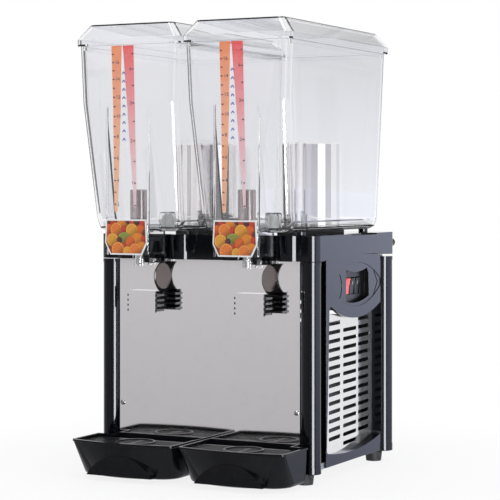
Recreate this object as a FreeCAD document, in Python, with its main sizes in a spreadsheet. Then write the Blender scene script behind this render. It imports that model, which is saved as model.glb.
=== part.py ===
import FreeCAD, Part
import Sketcher
import math
import os
import re

# Twin-bowl cold juice dispenser, in millimetres.
# +Z is up and the front, with the levers and drip trays, faces -Y.
# The origin is on the floor, under the centre of the whole machine's box.
# The pieces are drawn from the front panel's plane, and panel_y moves them into the frame.

SIZES = {
    # Overall layout
    "panel_y": -110.5,
    "half_width": 200.5,
    "bowl_pitch": 198.0,
    "wall": 3.0,
    "sheet_steel": 1.5,
    # Corner columns and feet
    "column_x": 184.0,
    "column_front_y": 5.6,
    "column_rear_y": 302.0,
    "column_r": 16.5,
    "shaft_r": 15.9,
    "column_low": 16.6,
    "collar_low": 29.0,
    "collar_high": 347.5,
    "column_high": 354.0,
    "foot_r": 15.0,
    "foot_base_r": 13.0,
    "foot_front_x": 175.0,
    "foot_front_y": 2.0,
    "foot_rear_x": 172.5,
    "foot_rear_y": 287.0,
    # Base pan
    "pan_low": 19.0,
    "pan_high": 29.0,
    "pan_wall": 2.0,
    "pan_x": 187.5,
    "pan_neck_x": 166.5,
    "pan_front_y": 2.0,
    "pan_rear_y": 299.5,
    "pan_wing_front_y": 23.0,
    "pan_wing_rear_y": 284.5,
    # Front and rear panels
    "panel_x": 167.0,
    "panel_low": 20.0,
    "panel_gap": 0.1,
    "screw_x": 161.0,
    "screw_z": 113.0,
    "screw_hole_r": 2.1,
    "screw_head_r": 4.2,
    "screw_head_thick": 2.2,
    "rear_panel_y": 300.0,
    "rear_panel_low": 21.0,
    "louvre_low": 90.0,
    "louvre_pitch": 16.0,
    "louvre_height": 6.0,
    "louvre_inner_x": 12.0,
    "louvre_outer_x": 130.0,
    # Side frames and grilles
    "side_x": 190.0,
    "side_thick": 2.0,
    "side_front_y": 51.0,
    "side_rear_y": 284.8,
    "side_low": 20.0,
    "flange_x": 178.0,
    "flange_front_y": 22.8,
    "flange_low": 29.2,
    "flange_high": 353.8,
    "field_low_front_y": 53.5,
    "field_high_front_y": 64.0,
    "field_rear_y": 281.0,
    "field_front_low": 42.5,
    "field_rear_low": 50.0,
    "field_rear_high": 279.0,
    "field_front_high": 282.0,
    "field_corner": 6.0,
    "field_return": 2.0,
    "grille_front_x": 187.6,
    "grille_mid_x": 178.4,
    "grille_rear_x": 171.0,
    "grille_front_y": 53.3,
    "grille_mid_y": 168.0,
    "grille_rear_y": 284.4,
    "grille_clear": 0.3,
    "grille_low": 29.3,
    "grille_thick": 1.2,
    "slot_pitch": 14.45,
    "slot_half": 3.15,
    "slot_rows": 14.0,
    # Switches
    "switch_x": 179.0,
    "rocker_front_y": 161.0,
    "rocker_pitch": 20.0,
    "rocker_half_width": 8.1,
    "rocker_half_height": 13.2,
    "rocker_z": 308.0,
    "rocker_pivot_x": 174.6,
    "rocker_tilt": 8.0,
    # Deck
    "deck_low": 355.0,
    "deck_high": 396.0,
    "deck_front_y": -10.9,
    "deck_rear_y": 318.5,
    "bulge_outer": 66.0,
    "bulge_inner": 35.0,
    "bulge_y": -17.5,
    "pocket_y": -2.0,
    "rest_x": 60.0,
    "rest_front_y": 20.0,
    "rest_rear_y": 272.0,
    "rest_r": 8.0,
    "bumper_x": 184.0,
    "bumper_rear_y": 342.0,
    "bumper_z": 377.0,
    "bumper_r": 7.0,
    # Bowls
    "bowl_low": 402.0,
    "bowl_knee": 431.0,
    "bowl_slope": 610.0,
    "bowl_high": 704.0,
    "bowl_corner": 17.5,
    "edge_inset": 13.0,
    "edge_rise": 4.4,
    "edge_height": 15.0,
    "bowl_low_half": 80.5,
    "bowl_knee_half": 81.4,
    "bowl_slope_half": 89.2,
    "bowl_high_half": 93.2,
    "bowl_low_front": -61.0,
    "bowl_knee_front": -65.0,
    "bowl_slope_front": -93.6,
    "bowl_high_front": -95.0,
    "bowl_low_rear": 296.4,
    "bowl_knee_rear": 297.0,
    "bowl_slope_rear": 299.0,
    "bowl_high_rear": 300.0,
    "nose_half": 41.0,
    "nose_front": -93.0,
    "nose_rear": -35.0,
    "nose_low": 364.0,
    "nose_floor": 401.0,
    "nose_high": 604.0,
    # Lids
    "lid_half": 97.0,
    "lid_front": -95.7,
    "lid_rear": 304.5,
    "lid_edge": 715.0,
    "lid_top": 739.0,
    "lid_corner": 13.0,
    "lid_top_half": 78.2,
    "lid_top_front": -83.2,
    "lid_top_rear": 293.8,
    # Evaporators and gaskets
    "evaporator_y": 186.0,
    "evaporator_r": 49.0,
    "evaporator_top": 550.0,
    "gasket_gap": 0.35,
    "gasket_r": 57.0,
    # Taps
    "tap_y": -52.0,
    "sleeve_r": 14.4,
    "sleeve_bore": 12.0,
    "sleeve_top": 470.0,
    "spool_r": 11.6,
    "spool_low": 446.0,
    "spool_high": 462.0,
    "stem_r": 5.2,
    "stem_low": 347.5,
    "groove_low": 349.0,
    "groove_high": 355.0,
    "groove_r": 3.8,
    "nozzle_r": 7.5,
    "nozzle_bore": 5.5,
    "nozzle_low": 344.5,
    # Levers
    "pivot_y": -22.0,
    "pivot_z": 352.0,
    "pin_r": 2.0,
    "lever_front": -31.2,
    "lever_sheet": 1.2,
    "lever_half": 25.0,
    "lever_waist": 15.0,
    "lever_top": 349.6,
    "lever_step": 303.0,
    "pad_front": -44.0,
    "pad_low": 268.0,
    "fin_half": 28.0,
    "fin_thick": 3.4,
    "fin_pitch": 8.2,
    "fin_rear": -19.0,
    # Mixing pumps
    "pump_x": -10.0,
    "pump_y": 60.0,
    "housing_r": 14.0,
    "housing_tall": 27.0,
    "impeller_r": 10.5,
    "magnet_r": 18.0,
    "axle_r": 3.0,
    "running_gap": 0.08,
    # Drip trays
    "tray_half": 94.5,
    "tray_foot_half": 90.0,
    "tray_front": -112.0,
    "tray_bow": 9.0,
    "tray_foot_front": -102.0,
    "tray_foot_bow": 12.0,
    "tray_low": 6.0,
    "tray_high": 63.0,
    "tray_wide_rear": -26.0,
    "tray_rear": -1.0,
    "tray_neck": 67.0,
    "tray_wall": 2.6,
    "tray_corner": 9.0,
    "tray_foot_corner": 36.0,
    "tray_lip": 1.6,
    "tray_lip_high": 3.0,
    "tray_edge": 5.0,
    "tray_ledge": 2.0,
    "tray_neck_rise": 20.0,
    "tray_arch_half": 60.0,
    "tray_arch_low": 9.0,
    "tray_arch_top": 42.0,
    "tray_arch_face": -119.0,
    "grid_low": 55.0,
    "grid_thick": 3.0,
    "grid_slack": 0.7,
    "grid_corner": 15.0,
    "grid_pitch": 8.0,
    "grid_rows": 8.0,
    "grid_rest": 0.3,
    "grid_first_slot": -101.0,
    "grid_slot": 5.0,
    "grid_slot_half": 82.0,
    "grid_spine": 2.2,
    "ring_wide": 4.0,
    "ring_rise": 1.6,
    "ring_y": -64.0,
    "ring_r": 33.0,
    # Cooling inside the cabinet
    "compressor_x": -92.0,
    "compressor_y": 205.0,
    "compressor_r": 60.0,
    "compressor_high": 176.0,
    "condenser_x": 118.0,
    "condenser_depth": 38.0,
    "condenser_front": 72.0,
    "condenser_rear": 270.0,
    "condenser_low": 62.0,
    "condenser_high": 246.0,
    "fan_x": 96.0,
    "fan_y": 171.0,
    "fan_z": 154.0,
    "fan_r": 74.0,
    "fan_hub_r": 18.0,
    "fan_shaft_r": 4.0,
}

doc = FreeCAD.newDocument("juice_dispenser")
sheet = doc.addObject("Spreadsheet::Sheet", "dim")
for row, (alias, value) in enumerate(SIZES.items(), start=1):
    sheet.set("A%d" % row, alias)
    sheet.set("B%d" % row, str(value))
    sheet.setAlias("B%d" % row, alias)
doc.recompute()

V = FreeCAD.Vector
SIDES = (("left", -1), ("right", 1))
LEAST_CUT = 1e-3
DIAGONAL = math.sqrt(0.5)
NODES = []


def cells(text):
    """An expression with each size's name pointed at its cell."""
    def pointed(found):
        word = found.group()
        return "dim." + word if word in SIZES else word

    return re.sub(r"[a-z][a-z_]*", pointed, str(text))


def number(text):
    """The present value of an expression."""
    value = sheet.evalExpression(cells(text))
    return float(getattr(value, "Value", value))


def place(piece, x="0", y="panel_y", z="0"):
    """Bind a piece's place in the machine."""
    piece.setExpression("Placement.Base.x", cells(x))
    piece.setExpression("Placement.Base.y", cells(y))
    piece.setExpression("Placement.Base.z", cells(z))


def finish(piece, name):
    """Name a finished sub-part and list it for the output."""
    doc.recompute()
    piece.Label = name
    NODES.append(piece)
    return piece


def new_body(name, x="0", y="panel_y", z="0"):
    body = doc.addObject("PartDesign::Body", name + "_body")
    body.AllowCompound = True
    place(body, x, y, z)
    return body


def origin_part(body, role):
    return [feature for feature in body.Origin.OriginFeatures if feature.Role == role][0]


def new_sketch(body, role, offset):
    sketch = body.newObject("Sketcher::SketchObject", "sketch")
    sketch.AttachmentSupport = [(origin_part(body, role), "")]
    sketch.MapMode = "FlatFace"
    sketch.setExpression("AttachmentOffset.Base.z", cells(offset))
    return sketch


def pin_point(sketch, index, which, x, y):
    """Hold one end of a sketch element at a place given by two expressions."""
    for kind, text in (("DistanceX", x), ("DistanceY", y)):
        row = sketch.addConstraint(Sketcher.Constraint(kind, -1, 1, index, which, number(text)))
        sketch.setExpression("Constraints[%d]" % row, cells(text))


def draw(sketch, loop):
    """Draw a closed loop: corners are (x, y), and ("arc", x, y) bows the side through that point.

    ("circle", x, y, radius) is a whole circle.
    """
    if loop[0] == "circle":
        kind, x, y, radius = loop
        centre = V(number(x), number(y), 0)
        index = sketch.addGeometry(Part.Circle(centre, V(0, 0, 1), number(radius)), False)
        pin_point(sketch, index, 3, x, y)
        row = sketch.addConstraint(Sketcher.Constraint("Radius", index, number(radius)))
        sketch.setExpression("Constraints[%d]" % row, cells(radius))
        return
    corners = [(n, item) for n, item in enumerate(loop) if item[0] != "arc"]
    for order, (n, start) in enumerate(corners):
        end = corners[(order + 1) % len(corners)][1]
        start_point = V(number(start[0]), number(start[1]), 0)
        end_point = V(number(end[0]), number(end[1]), 0)
        if n + 1 == len(loop) or loop[n + 1][0] != "arc":
            index = sketch.addGeometry(Part.LineSegment(start_point, end_point), False)
            pin_point(sketch, index, 1, *start)
            pin_point(sketch, index, 2, *end)
            continue
        middle = loop[n + 1][1:]
        middle_point = V(number(middle[0]), number(middle[1]), 0)
        anticlockwise = (middle_point - start_point).cross(end_point - middle_point).z > 0
        ends = [(start_point, start), (end_point, end)]
        (from_point, from_text), (to_point, to_text) = ends if anticlockwise else reversed(ends)
        index = sketch.addGeometry(Part.Arc(from_point, middle_point, to_point), False)
        pin_point(sketch, index, 1, *from_text)
        pin_point(sketch, index, 2, *to_text)
        guide = sketch.addGeometry(Part.Point(middle_point), True)
        pin_point(sketch, guide, 1, *middle)
        sketch.addConstraint(Sketcher.Constraint("PointOnObject", guide, 1, index))


def loops_sketch(body, role, offset, loops):
    sketch = new_sketch(body, role, offset)
    for loop in loops:
        draw(sketch, loop)
    return sketch


def prism(body, role, loops, low, high):
    """Add a prism across a plane, between two places on the axis that the plane faces."""
    offset = "-(%s)" % high if role == "XZ_Plane" else low
    sketch = loops_sketch(body, role, offset, loops)
    pad = body.newObject("PartDesign::Pad", "pad")
    pad.Profile = sketch
    pad.setExpression("Length", cells("(%s) - (%s)" % (high, low)))
    doc.recompute()
    return pad


def cut(body, role, loops, low, high):
    """Cut a prism away, between two places on the axis that the plane faces."""
    before = body.Shape.Volume
    offset = "-(%s)" % low if role == "XZ_Plane" else high
    sketch = loops_sketch(body, role, offset, loops)
    pocket = body.newObject("PartDesign::Pocket", "pocket")
    pocket.Profile = sketch
    pocket.setExpression("Length", cells("(%s) - (%s)" % (high, low)))
    doc.recompute()
    if before - body.Shape.Volume < LEAST_CUT:
        raise ValueError("a pocket in %s cuts nothing" % body.Name)
    return pocket


def loft(body, sections, kind="PartDesign::AdditiveLoft"):
    """Join level outlines, each given as (height, loop), by flat sides."""
    sketches = [loops_sketch(body, "XY_Plane", height, [loop]) for height, loop in sections]
    feature = body.newObject(kind, "loft")
    feature.Profile = sketches[0]
    feature.Sections = sketches[1:]
    feature.Ruled = True
    doc.recompute()
    return feature


def turn(body, role, loops, axis, kind="PartDesign::Revolution"):
    """Turn a half profile a whole turn about one of the body's own axes."""
    sketch = loops_sketch(body, role, "0", loops)
    feature = body.newObject(kind, "turned")
    feature.Profile = sketch
    feature.ReferenceAxis = (origin_part(body, axis), [""])
    feature.Angle = 360
    doc.recompute()
    return feature


def repeat(body, feature, axis, length, count, backwards=False):
    """Repeat a feature along an axis of the body."""
    pattern = body.newObject("PartDesign::LinearPattern", "row")
    pattern.Originals = [feature]
    pattern.Direction = (origin_part(body, axis), [""])
    pattern.Reversed = backwards
    pattern.setExpression("Length", cells(length))
    pattern.setExpression("Occurrences", cells(count))
    body.Tip = pattern
    doc.recompute()
    return pattern


def around(body, feature, axis, count):
    """Repeat a feature round an axis of the body."""
    pattern = body.newObject("PartDesign::PolarPattern", "ring")
    pattern.Originals = [feature]
    pattern.Axis = (origin_part(body, axis), [""])
    pattern.Angle = 360
    pattern.Occurrences = count
    body.Tip = pattern
    doc.recompute()
    return pattern


def soften(body, radius, wanted):
    """Round the edges that a test picks."""
    base = body.Tip
    names = ["Edge%d" % n for n, edge in enumerate(base.Shape.Edges, start=1) if wanted(edge)]
    if not names:
        raise ValueError("no edge to round in %s" % body.Name)
    feature = body.newObject("PartDesign::Fillet", "rounded")
    feature.Base = (base, names)
    feature.setExpression("Radius", cells(radius))
    doc.recompute()
    return feature


def level_at(edge, height):
    box = edge.BoundBox
    return abs(box.ZMin - height) < LEAST_CUT and abs(box.ZMax - height) < LEAST_CUT


def rectangle(x_low, x_high, y_low, y_high):
    return [(x_low, y_low), (x_high, y_low), (x_high, y_high), (x_low, y_high)]


def rounded(x_low, x_high, y_low, y_high, radius):
    """A rectangle with round corners, starting at the left end of its low side."""
    inset = "(%s) * %.9f" % (radius, 1 - DIAGONAL)
    return [
        ("%s + %s" % (x_low, radius), y_low),
        ("%s - (%s)" % (x_high, radius), y_low),
        ("arc", "%s - %s" % (x_high, inset), "%s + %s" % (y_low, inset)),
        (x_high, "%s + %s" % (y_low, radius)),
        (x_high, "%s - (%s)" % (y_high, radius)),
        ("arc", "%s - %s" % (x_high, inset), "%s - %s" % (y_high, inset)),
        ("%s - (%s)" % (x_high, radius), y_high),
        ("%s + %s" % (x_low, radius), y_high),
        ("arc", "%s + %s" % (x_low, inset), "%s - %s" % (y_high, inset)),
        (x_low, "%s - (%s)" % (y_high, radius)),
        (x_low, "%s + %s" % (y_low, radius)),
        ("arc", "%s + %s" % (x_low, inset), "%s + %s" % (y_low, inset)),
    ]


def group(name, pieces):
    """Identical pieces as one node of separate solids."""
    together = doc.addObject("Part::Compound", name + "_group")
    together.Links = pieces
    return finish(together, name)


def make_base_pan():
    body = new_body("base_pan")

    def cross(inset):
        side = "(pan_x - %s)" % inset
        neck = "(pan_neck_x - %s)" % inset
        front = "(pan_front_y + %s)" % inset
        rear = "(pan_rear_y - %s)" % inset
        wing_front = "(pan_wing_front_y + %s)" % inset
        wing_rear = "(pan_wing_rear_y - %s)" % inset
        right = [(neck, front), (neck, wing_front), (side, wing_front), (side, wing_rear), (neck, wing_rear),
                 (neck, rear)]
        left = [("-" + x, y) for x, y in reversed(right)]
        return right + left

    prism(body, "XY_Plane", [cross("0")], "pan_low", "pan_high")
    cut(body, "XY_Plane", [cross("pan_wall")], "pan_low + pan_wall", "pan_high")
    return finish(body, "base_pan")


def make_feet():
    feet = []
    for side, sign in SIDES:
        for end in ("front", "rear"):
            foot = doc.addObject("Part::Cone", "foot_%s_%s" % (end, side))
            foot.setExpression("Radius1", cells("foot_base_r"))
            foot.setExpression("Radius2", cells("foot_r"))
            foot.setExpression("Height", cells("column_low"))
            place(foot, "%d * foot_%s_x" % (sign, end), "panel_y + foot_%s_y" % end)
            feet.append(foot)
    return group("feet", feet)


def make_column(end, side, sign):
    name = "column_%s_%s" % (end, side)
    body = new_body(name, "%d * column_x" % sign, "panel_y + column_%s_y" % end)
    profile = [
        ("0", "column_low"),
        ("column_r", "column_low"),
        ("column_r", "collar_low"),
        ("shaft_r", "collar_low"),
        ("shaft_r", "collar_high"),
        ("column_r", "collar_high"),
        ("column_r", "column_high"),
        ("0", "column_high"),
    ]
    turn(body, "XZ_Plane", [profile], "Z_Axis")
    soften(body, "1.2", lambda edge: level_at(edge, number("column_low")) and edge.BoundBox.XLength > 1)
    return finish(body, name)


def make_front_panel():
    body = new_body("front_panel")
    outline = rectangle("-panel_x", "panel_x", "panel_low", "deck_low - panel_gap")
    prism(body, "XZ_Plane", [outline], "0", "sheet_steel")
    holes = [("circle", "%d * screw_x" % sign, "screw_z", "screw_hole_r") for side, sign in SIDES]
    cut(body, "XZ_Plane", holes, "-1", "sheet_steel + 1")
    return finish(body, "front_panel")


def make_rear_panel():
    body = new_body("rear_panel")
    far = "rear_panel_y + sheet_steel"
    outline = rectangle("-panel_x", "panel_x", "rear_panel_low", "deck_low - panel_gap")
    prism(body, "XZ_Plane", [outline], "rear_panel_y", far)
    slots = [rectangle("%s" % low, "%s" % high, "louvre_low", "louvre_low + louvre_height")
             for low, high in (("-louvre_outer_x", "-louvre_inner_x"),
                               ("louvre_inner_x", "louvre_outer_x"))]
    first = cut(body, "XZ_Plane", slots, "rear_panel_y - 1", far + " + 1")
    repeat(body, first, "Z_Axis", "louvre_pitch * 11", "12")
    gland_hole = [("circle", "-120", "60", "8.2")]
    cut(body, "XZ_Plane", gland_hole, "rear_panel_y - 1", far + " + 1")
    return finish(body, "rear_panel")


def make_screws():
    """Pan-head screws of the front and rear panels."""
    screws = []
    places = [(sign * SIZES["screw_x"], SIZES["screw_z"], True) for side, sign in SIDES]
    places += [(sign * SIZES["screw_x"], height, False)
               for side, sign in SIDES for height in (60.0, 330.0)]
    for x, z, front in places:
        face = "panel_y" if front else "panel_y + rear_panel_y + sheet_steel"
        body = new_body("screw", str(x), face, str(z))
        out = -1 if front else 1
        head = "%d * screw_head_thick" % out
        profile = [
            ("0", "0"),
            ("screw_head_r", "0"),
            ("screw_head_r", "%d * 0.8" % out),
            ("screw_head_r * 0.5", head),
            ("0", head),
        ]
        turn(body, "XY_Plane", [profile], "Y_Axis")
        slot = rectangle("-screw_head_r - 1", "screw_head_r + 1", "-0.5", "0.5")
        deep = ("%s" % head, "%s + 1.0" % head) if front else ("%s - 1.0" % head, "%s" % head)
        cut(body, "XZ_Plane", [slot], *deep)
        screws.append(body)
    return group("panel_screws", screws)


def eye_outline():
    """The shallow eye-shaped recess round the switches, as (y, z)."""
    return [("66", "313.5"), ("arc", "158", "347"), ("284", "311.5"), ("arc", "165", "275")]


def field_outline(out):
    """The window round a side grille, as (y, z), widened by a margin."""
    return [
        ("field_low_front_y - %s" % out, "field_front_low - %s" % out),
        ("arc", "150", "34.5 - %s" % out),
        ("field_rear_y + %s" % out, "field_rear_low - %s" % out),
        ("field_rear_y + %s" % out, "field_rear_high + %s" % out),
        ("arc", "166", "255.6 + %s" % out),
        ("field_high_front_y - %s" % out, "field_front_high + %s" % out),
    ]


def grille_line(sign, offset):
    """Plan of a grille's outer face, which leans inwards to the rear, moved out by an offset."""
    return [
        ("%d * (grille_front_x + %s)" % (sign, offset), "grille_front_y"),
        ("arc", "%d * (grille_mid_x + %s)" % (sign, offset), "grille_mid_y"),
        ("%d * (grille_rear_x + %s)" % (sign, offset), "grille_rear_y"),
    ]


def span(sign, inner, outer):
    """Two places across the machine, in rising order on either side."""
    low, high = "%d * (%s)" % (sign, inner), "%d * (%s)" % (sign, outer)
    return (low, high) if sign > 0 else (high, low)


def make_side_frame(side, sign):
    """Moulded frame round the grille: a face, a return to it and a set-back flange by the column."""
    name = "side_frame_" + side
    body = new_body(name)
    inner_face = "side_x - side_thick"
    returns = span(sign, "grille_rear_x - 3", inner_face + " + 1")
    prism(body, "YZ_Plane", [field_outline("field_return")], *returns)
    plate = [
        ("side_front_y", "side_low"),
        ("side_rear_y", "side_low"),
        ("side_rear_y", "357.4"),
        ("arc", "158", "361.2"),
        ("side_front_y", "355.6"),
    ]
    prism(body, "YZ_Plane", [plate], *span(sign, inner_face, "side_x"))
    cut(body, "YZ_Plane", [field_outline("0")], *span(sign, "grille_rear_x - 4", "side_x"))
    corners = (("field_low_front_y", "field_front_low"), ("field_rear_y", "field_rear_low"),
               ("field_rear_y", "field_rear_high"), ("field_high_front_y", "field_front_high"))
    places = [(number(y), number(z)) for y, z in corners]

    def at_corner(edge):
        box = edge.BoundBox
        if box.XLength <= 1 or box.YLength >= LEAST_CUT:
            return False
        return any(abs(box.YMin - y) < 0.5 and abs(box.ZMin - z) < 0.5 for y, z in places)

    soften(body, "field_corner", at_corner)
    behind = grille_line(sign, "grille_clear") + [
        ("%d * 150" % sign, "grille_rear_y"),
        ("%d * 150" % sign, "40"),
        ("%d * (grille_front_x + grille_clear)" % sign, "40"),
    ]
    cut(body, "XY_Plane", [behind], "side_low", "flange_high")
    flange = rectangle("flange_front_y", "side_front_y + side_thick", "flange_low", "flange_high")
    prism(body, "YZ_Plane", [flange], *span(sign, "flange_x - side_thick", "flange_x"))
    step = rectangle("side_front_y", "side_front_y + side_thick", "flange_low", "flange_high")
    prism(body, "YZ_Plane", [step], *span(sign, "flange_x - side_thick", "side_x"))
    cut(body, "YZ_Plane", [eye_outline()], *span(sign, "side_x - 1.0", "side_x"))
    bracket = [("104", "329"), ("arc", "112", "310"), ("104", "291"), ("107", "289.5"),
               ("arc", "115.2", "310"), ("107", "330.5")]
    chevron = [("246", "330"), ("262", "312"), ("245", "290"), ("248.2", "289"), ("266", "312"),
               ("249.5", "331")]
    cut(body, "YZ_Plane", [bracket, chevron], *span(sign, "side_x - 1.7", "side_x"))
    if sign > 0:
        opening = [
            ("132", "284"),
            ("arc", "180", "281"),
            ("228", "290"),
            ("226", "327"),
            ("219", "337"),
            ("arc", "180", "331.5"),
            ("132", "336"),
        ]
        cut(body, "YZ_Plane", [opening], *span(sign, inner_face, "side_x"))
    return finish(body, name)


def make_side_grille(side, sign):
    """Polished sheet with rows of round-ended slots."""
    name = "side_grille_" + side
    body = new_body(name)
    inner_line = grille_line(sign, "-grille_thick")
    band = grille_line(sign, "0") + [inner_line[2], inner_line[1], inner_line[0]]
    prism(body, "XY_Plane", [band], "grille_low", "294")
    near, far = ("-200", "-165") if sign < 0 else ("165", "200")
    above = [("40", "296"), ("40", "272"), ("132", "259"), ("arc", "200", "261.5"), ("290", "292"),
             ("290", "296")]
    cut(body, "YZ_Plane", [above], near, far)
    slots = []
    for front, rear, z in (("72", "122", "62.7"), ("142", "201", "48.1"), ("216", "265", "62.7")):
        slots.append([
            (front, z + " - slot_half"),
            (rear, z + " - slot_half"),
            ("arc", rear + " + slot_half", z),
            (rear, z + " + slot_half"),
            (front, z + " + slot_half"),
            ("arc", front + " - slot_half", z),
        ])
    first = cut(body, "YZ_Plane", slots, near, far)
    repeat(body, first, "Z_Axis", "slot_pitch * (slot_rows - 1)", "slot_rows")
    return finish(body, name)


def deck_outline(inset):
    """Plan of the deck: round front corners over the columns, two bulges and a pocket at each tap."""
    centre_y = "column_front_y"
    radius = "(column_r - %s)" % inset
    side = "(half_width - %s)" % inset
    front = "(deck_front_y + %s)" % inset
    rear = "(deck_rear_y - %s)" % inset
    slant = "%s * %.9f" % (radius, DIAGONAL)
    points = [("-column_x", front)]
    for name, sign in SIDES:
        middle = "(%d * bowl_pitch / 2)" % sign
        points += [
            (middle + " - bulge_outer", front),
            ("arc", middle + " - 50.5", "bulge_y + %s" % inset),
            (middle + " - bulge_inner - %s" % inset, front),
            (middle + " - bulge_inner - %s" % inset, "pocket_y + %s" % inset),
            (middle + " + bulge_inner + %s" % inset, "pocket_y + %s" % inset),
            (middle + " + bulge_inner + %s" % inset, front),
            ("arc", middle + " + 50.5", "bulge_y + %s" % inset),
            (middle + " + bulge_outer", front),
        ]
    rear_corner = "(%s - column_r + %s)" % (rear, inset)
    points += [
        ("column_x", front),
        ("arc", "column_x + " + slant, centre_y + " - " + slant),
        (side, centre_y),
        (side, rear_corner),
        ("arc", "column_x + " + slant, rear_corner + " + " + slant),
        ("column_x", rear),
        ("-column_x", rear),
        ("arc", "-column_x - " + slant, rear_corner + " + " + slant),
        ("-" + side, rear_corner),
        ("-" + side, centre_y),
        ("arc", "-column_x - " + slant, centre_y + " - " + slant),
    ]
    return points


def make_deck():
    body = new_body("deck")
    prism(body, "XY_Plane", [deck_outline("0")], "deck_low", "deck_high")
    cut(body, "XY_Plane", [deck_outline("wall")], "deck_low", "deck_high - wall")
    arch = [("12", "353"), ("12", "355.05"), ("arc", "165", "361.9"), ("320", "356.6"), ("320", "353")]
    cut(body, "YZ_Plane", [arch], "-210", "210")
    for side, sign in SIDES:
        low, high = ("186", "210") if sign > 0 else ("-210", "-186")
        cut(body, "XZ_Plane", [rectangle(low, high, "deck_high - 2.4", "deck_high + 1")], "130", "235")
    circles = [("circle", "%d * bowl_pitch / 2 + %s * rest_x" % (sign, across), end, "rest_r")
               for side, sign in SIDES for across in ("-1", "1") for end in ("rest_front_y", "rest_rear_y")]
    prism(body, "XY_Plane", circles, "deck_high - 1", "bowl_low")
    pipes = [("circle", "%d * bowl_pitch / 2" % sign, "evaporator_y", "22") for side, sign in SIDES]
    cut(body, "XY_Plane", pipes, "deck_high - wall - 1", "deck_high + 1")
    return finish(body, "deck")


def make_rear_bumpers():
    """Round bumpers at the deck's rear corners that keep the machine off a wall."""
    bumpers = []
    for side, sign in SIDES:
        body = new_body("bumper", "%d * bumper_x" % sign, "panel_y", "bumper_z")
        profile = [
            ("0", "column_rear_y + 8"),
            ("bumper_r", "column_rear_y + 8"),
            ("bumper_r", "bumper_rear_y - 2"),
            ("bumper_r - 2", "bumper_rear_y"),
            ("0", "bumper_rear_y"),
        ]
        turn(body, "XY_Plane", [profile], "Y_Axis")
        corner = ("circle", "%d * (column_x - bumper_x)" % sign, "column_rear_y", "column_r")
        cut(body, "XY_Plane", [corner], "-bumper_r - 1", "bumper_r + 1")
        inner = ("-bumper_r - 1", "0") if sign > 0 else ("0", "bumper_r + 1")
        behind = rectangle(*inner, "-bumper_r - 1", "bumper_r + 1")
        cut(body, "XZ_Plane", [behind], "column_rear_y", "deck_rear_y")
        bumpers.append(body)
    return group("rear_bumpers", bumpers)


def bowl_sections(inset, floor):
    """The bowl's level outlines: three round its floor's edge, then the knee, the slope and the rim."""
    sections = []
    levels = (
        ("low", floor, "edge_inset"),
        ("low", floor + " + edge_rise", "edge_inset * 0.28"),
        ("low", floor + " + edge_height", "0"),
        ("knee", "bowl_knee", "0"),
        ("slope", "bowl_slope", "0"),
        ("high", "bowl_high", "0"),
    )
    for level, height, drawn_in in levels:
        less = "(%s + %s)" % (inset, drawn_in)
        half = "(bowl_%s_half - %s)" % (level, less)
        front = "(bowl_%s_front + %s)" % (level, less)
        rear = "(bowl_%s_rear - %s)" % (level, less)
        sections.append((height, rounded("-" + half, half, front, rear, "(bowl_corner - %s)" % less)))
    return sections


def make_bowl(side, sign):
    name = "bowl_" + side
    body = new_body(name, "%d * bowl_pitch / 2" % sign)
    loft(body, bowl_sections("0", "bowl_low"))
    nose = rounded("-nose_half", "nose_half", "nose_front", "nose_rear", "5")
    prism(body, "XY_Plane", [nose], "nose_low", "nose_high")
    loft(body, bowl_sections("wall", "bowl_low + wall"), "PartDesign::SubtractiveLoft")
    channel = rounded("-nose_half + wall", "nose_half - wall", "nose_front + wall", "nose_rear", "3")
    cut(body, "XY_Plane", [channel], "nose_floor + wall", "nose_high")
    skirt = rounded("-nose_half + wall", "nose_half - wall", "nose_front + wall", "nose_rear - wall", "3")
    cut(body, "XY_Plane", [skirt], "nose_low", "nose_floor")
    seat = [("circle", "0", "evaporator_y", "evaporator_r + 3")]
    cut(body, "XY_Plane", seat, "bowl_low - 1", "bowl_low + 8")
    stem_hole = [("circle", "0", "tap_y", "stem_r + 0.4")]
    cut(body, "XY_Plane", stem_hole, "nose_floor - 1", "nose_floor + wall + 1")
    return finish(body, name)


def make_gasket(side, sign):
    """Rubber ring that seals the bowl's floor round the evaporator."""
    name = "bowl_gasket_" + side
    body = new_body(name, "%d * bowl_pitch / 2" % sign, "panel_y + evaporator_y")
    profile = [
        ("evaporator_r + gasket_gap", "deck_high + 0.2"),
        ("gasket_r", "deck_high + 0.2"),
        ("gasket_r", "bowl_low"),
        ("evaporator_r + 3", "bowl_low"),
        ("evaporator_r + 3", "bowl_low + wall"),
        ("evaporator_r + 5", "bowl_low + wall"),
        ("evaporator_r + 4", "bowl_low + wall + 3"),
        ("evaporator_r + gasket_gap", "bowl_low + wall + 3"),
    ]
    turn(body, "XZ_Plane", [profile], "Z_Axis")
    return finish(body, name)


def make_evaporator(side, sign):
    name = "evaporator_" + side
    body = new_body(name, "%d * bowl_pitch / 2" % sign, "panel_y + evaporator_y")
    profile = [
        ("evaporator_r - 2", "deck_high"),
        ("evaporator_r", "deck_high"),
        ("evaporator_r", "evaporator_top - 4"),
        ("arc", "evaporator_r - 4 * %.6f" % (1 - DIAGONAL), "evaporator_top - 4 * %.6f" % (1 - DIAGONAL)),
        ("evaporator_r - 4", "evaporator_top"),
        ("0", "evaporator_top"),
        ("0", "evaporator_top - 2"),
        ("evaporator_r - 5", "evaporator_top - 2"),
        ("evaporator_r - 2", "evaporator_top - 5"),
    ]
    turn(body, "XZ_Plane", [profile], "Z_Axis")
    return finish(body, name)


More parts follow.
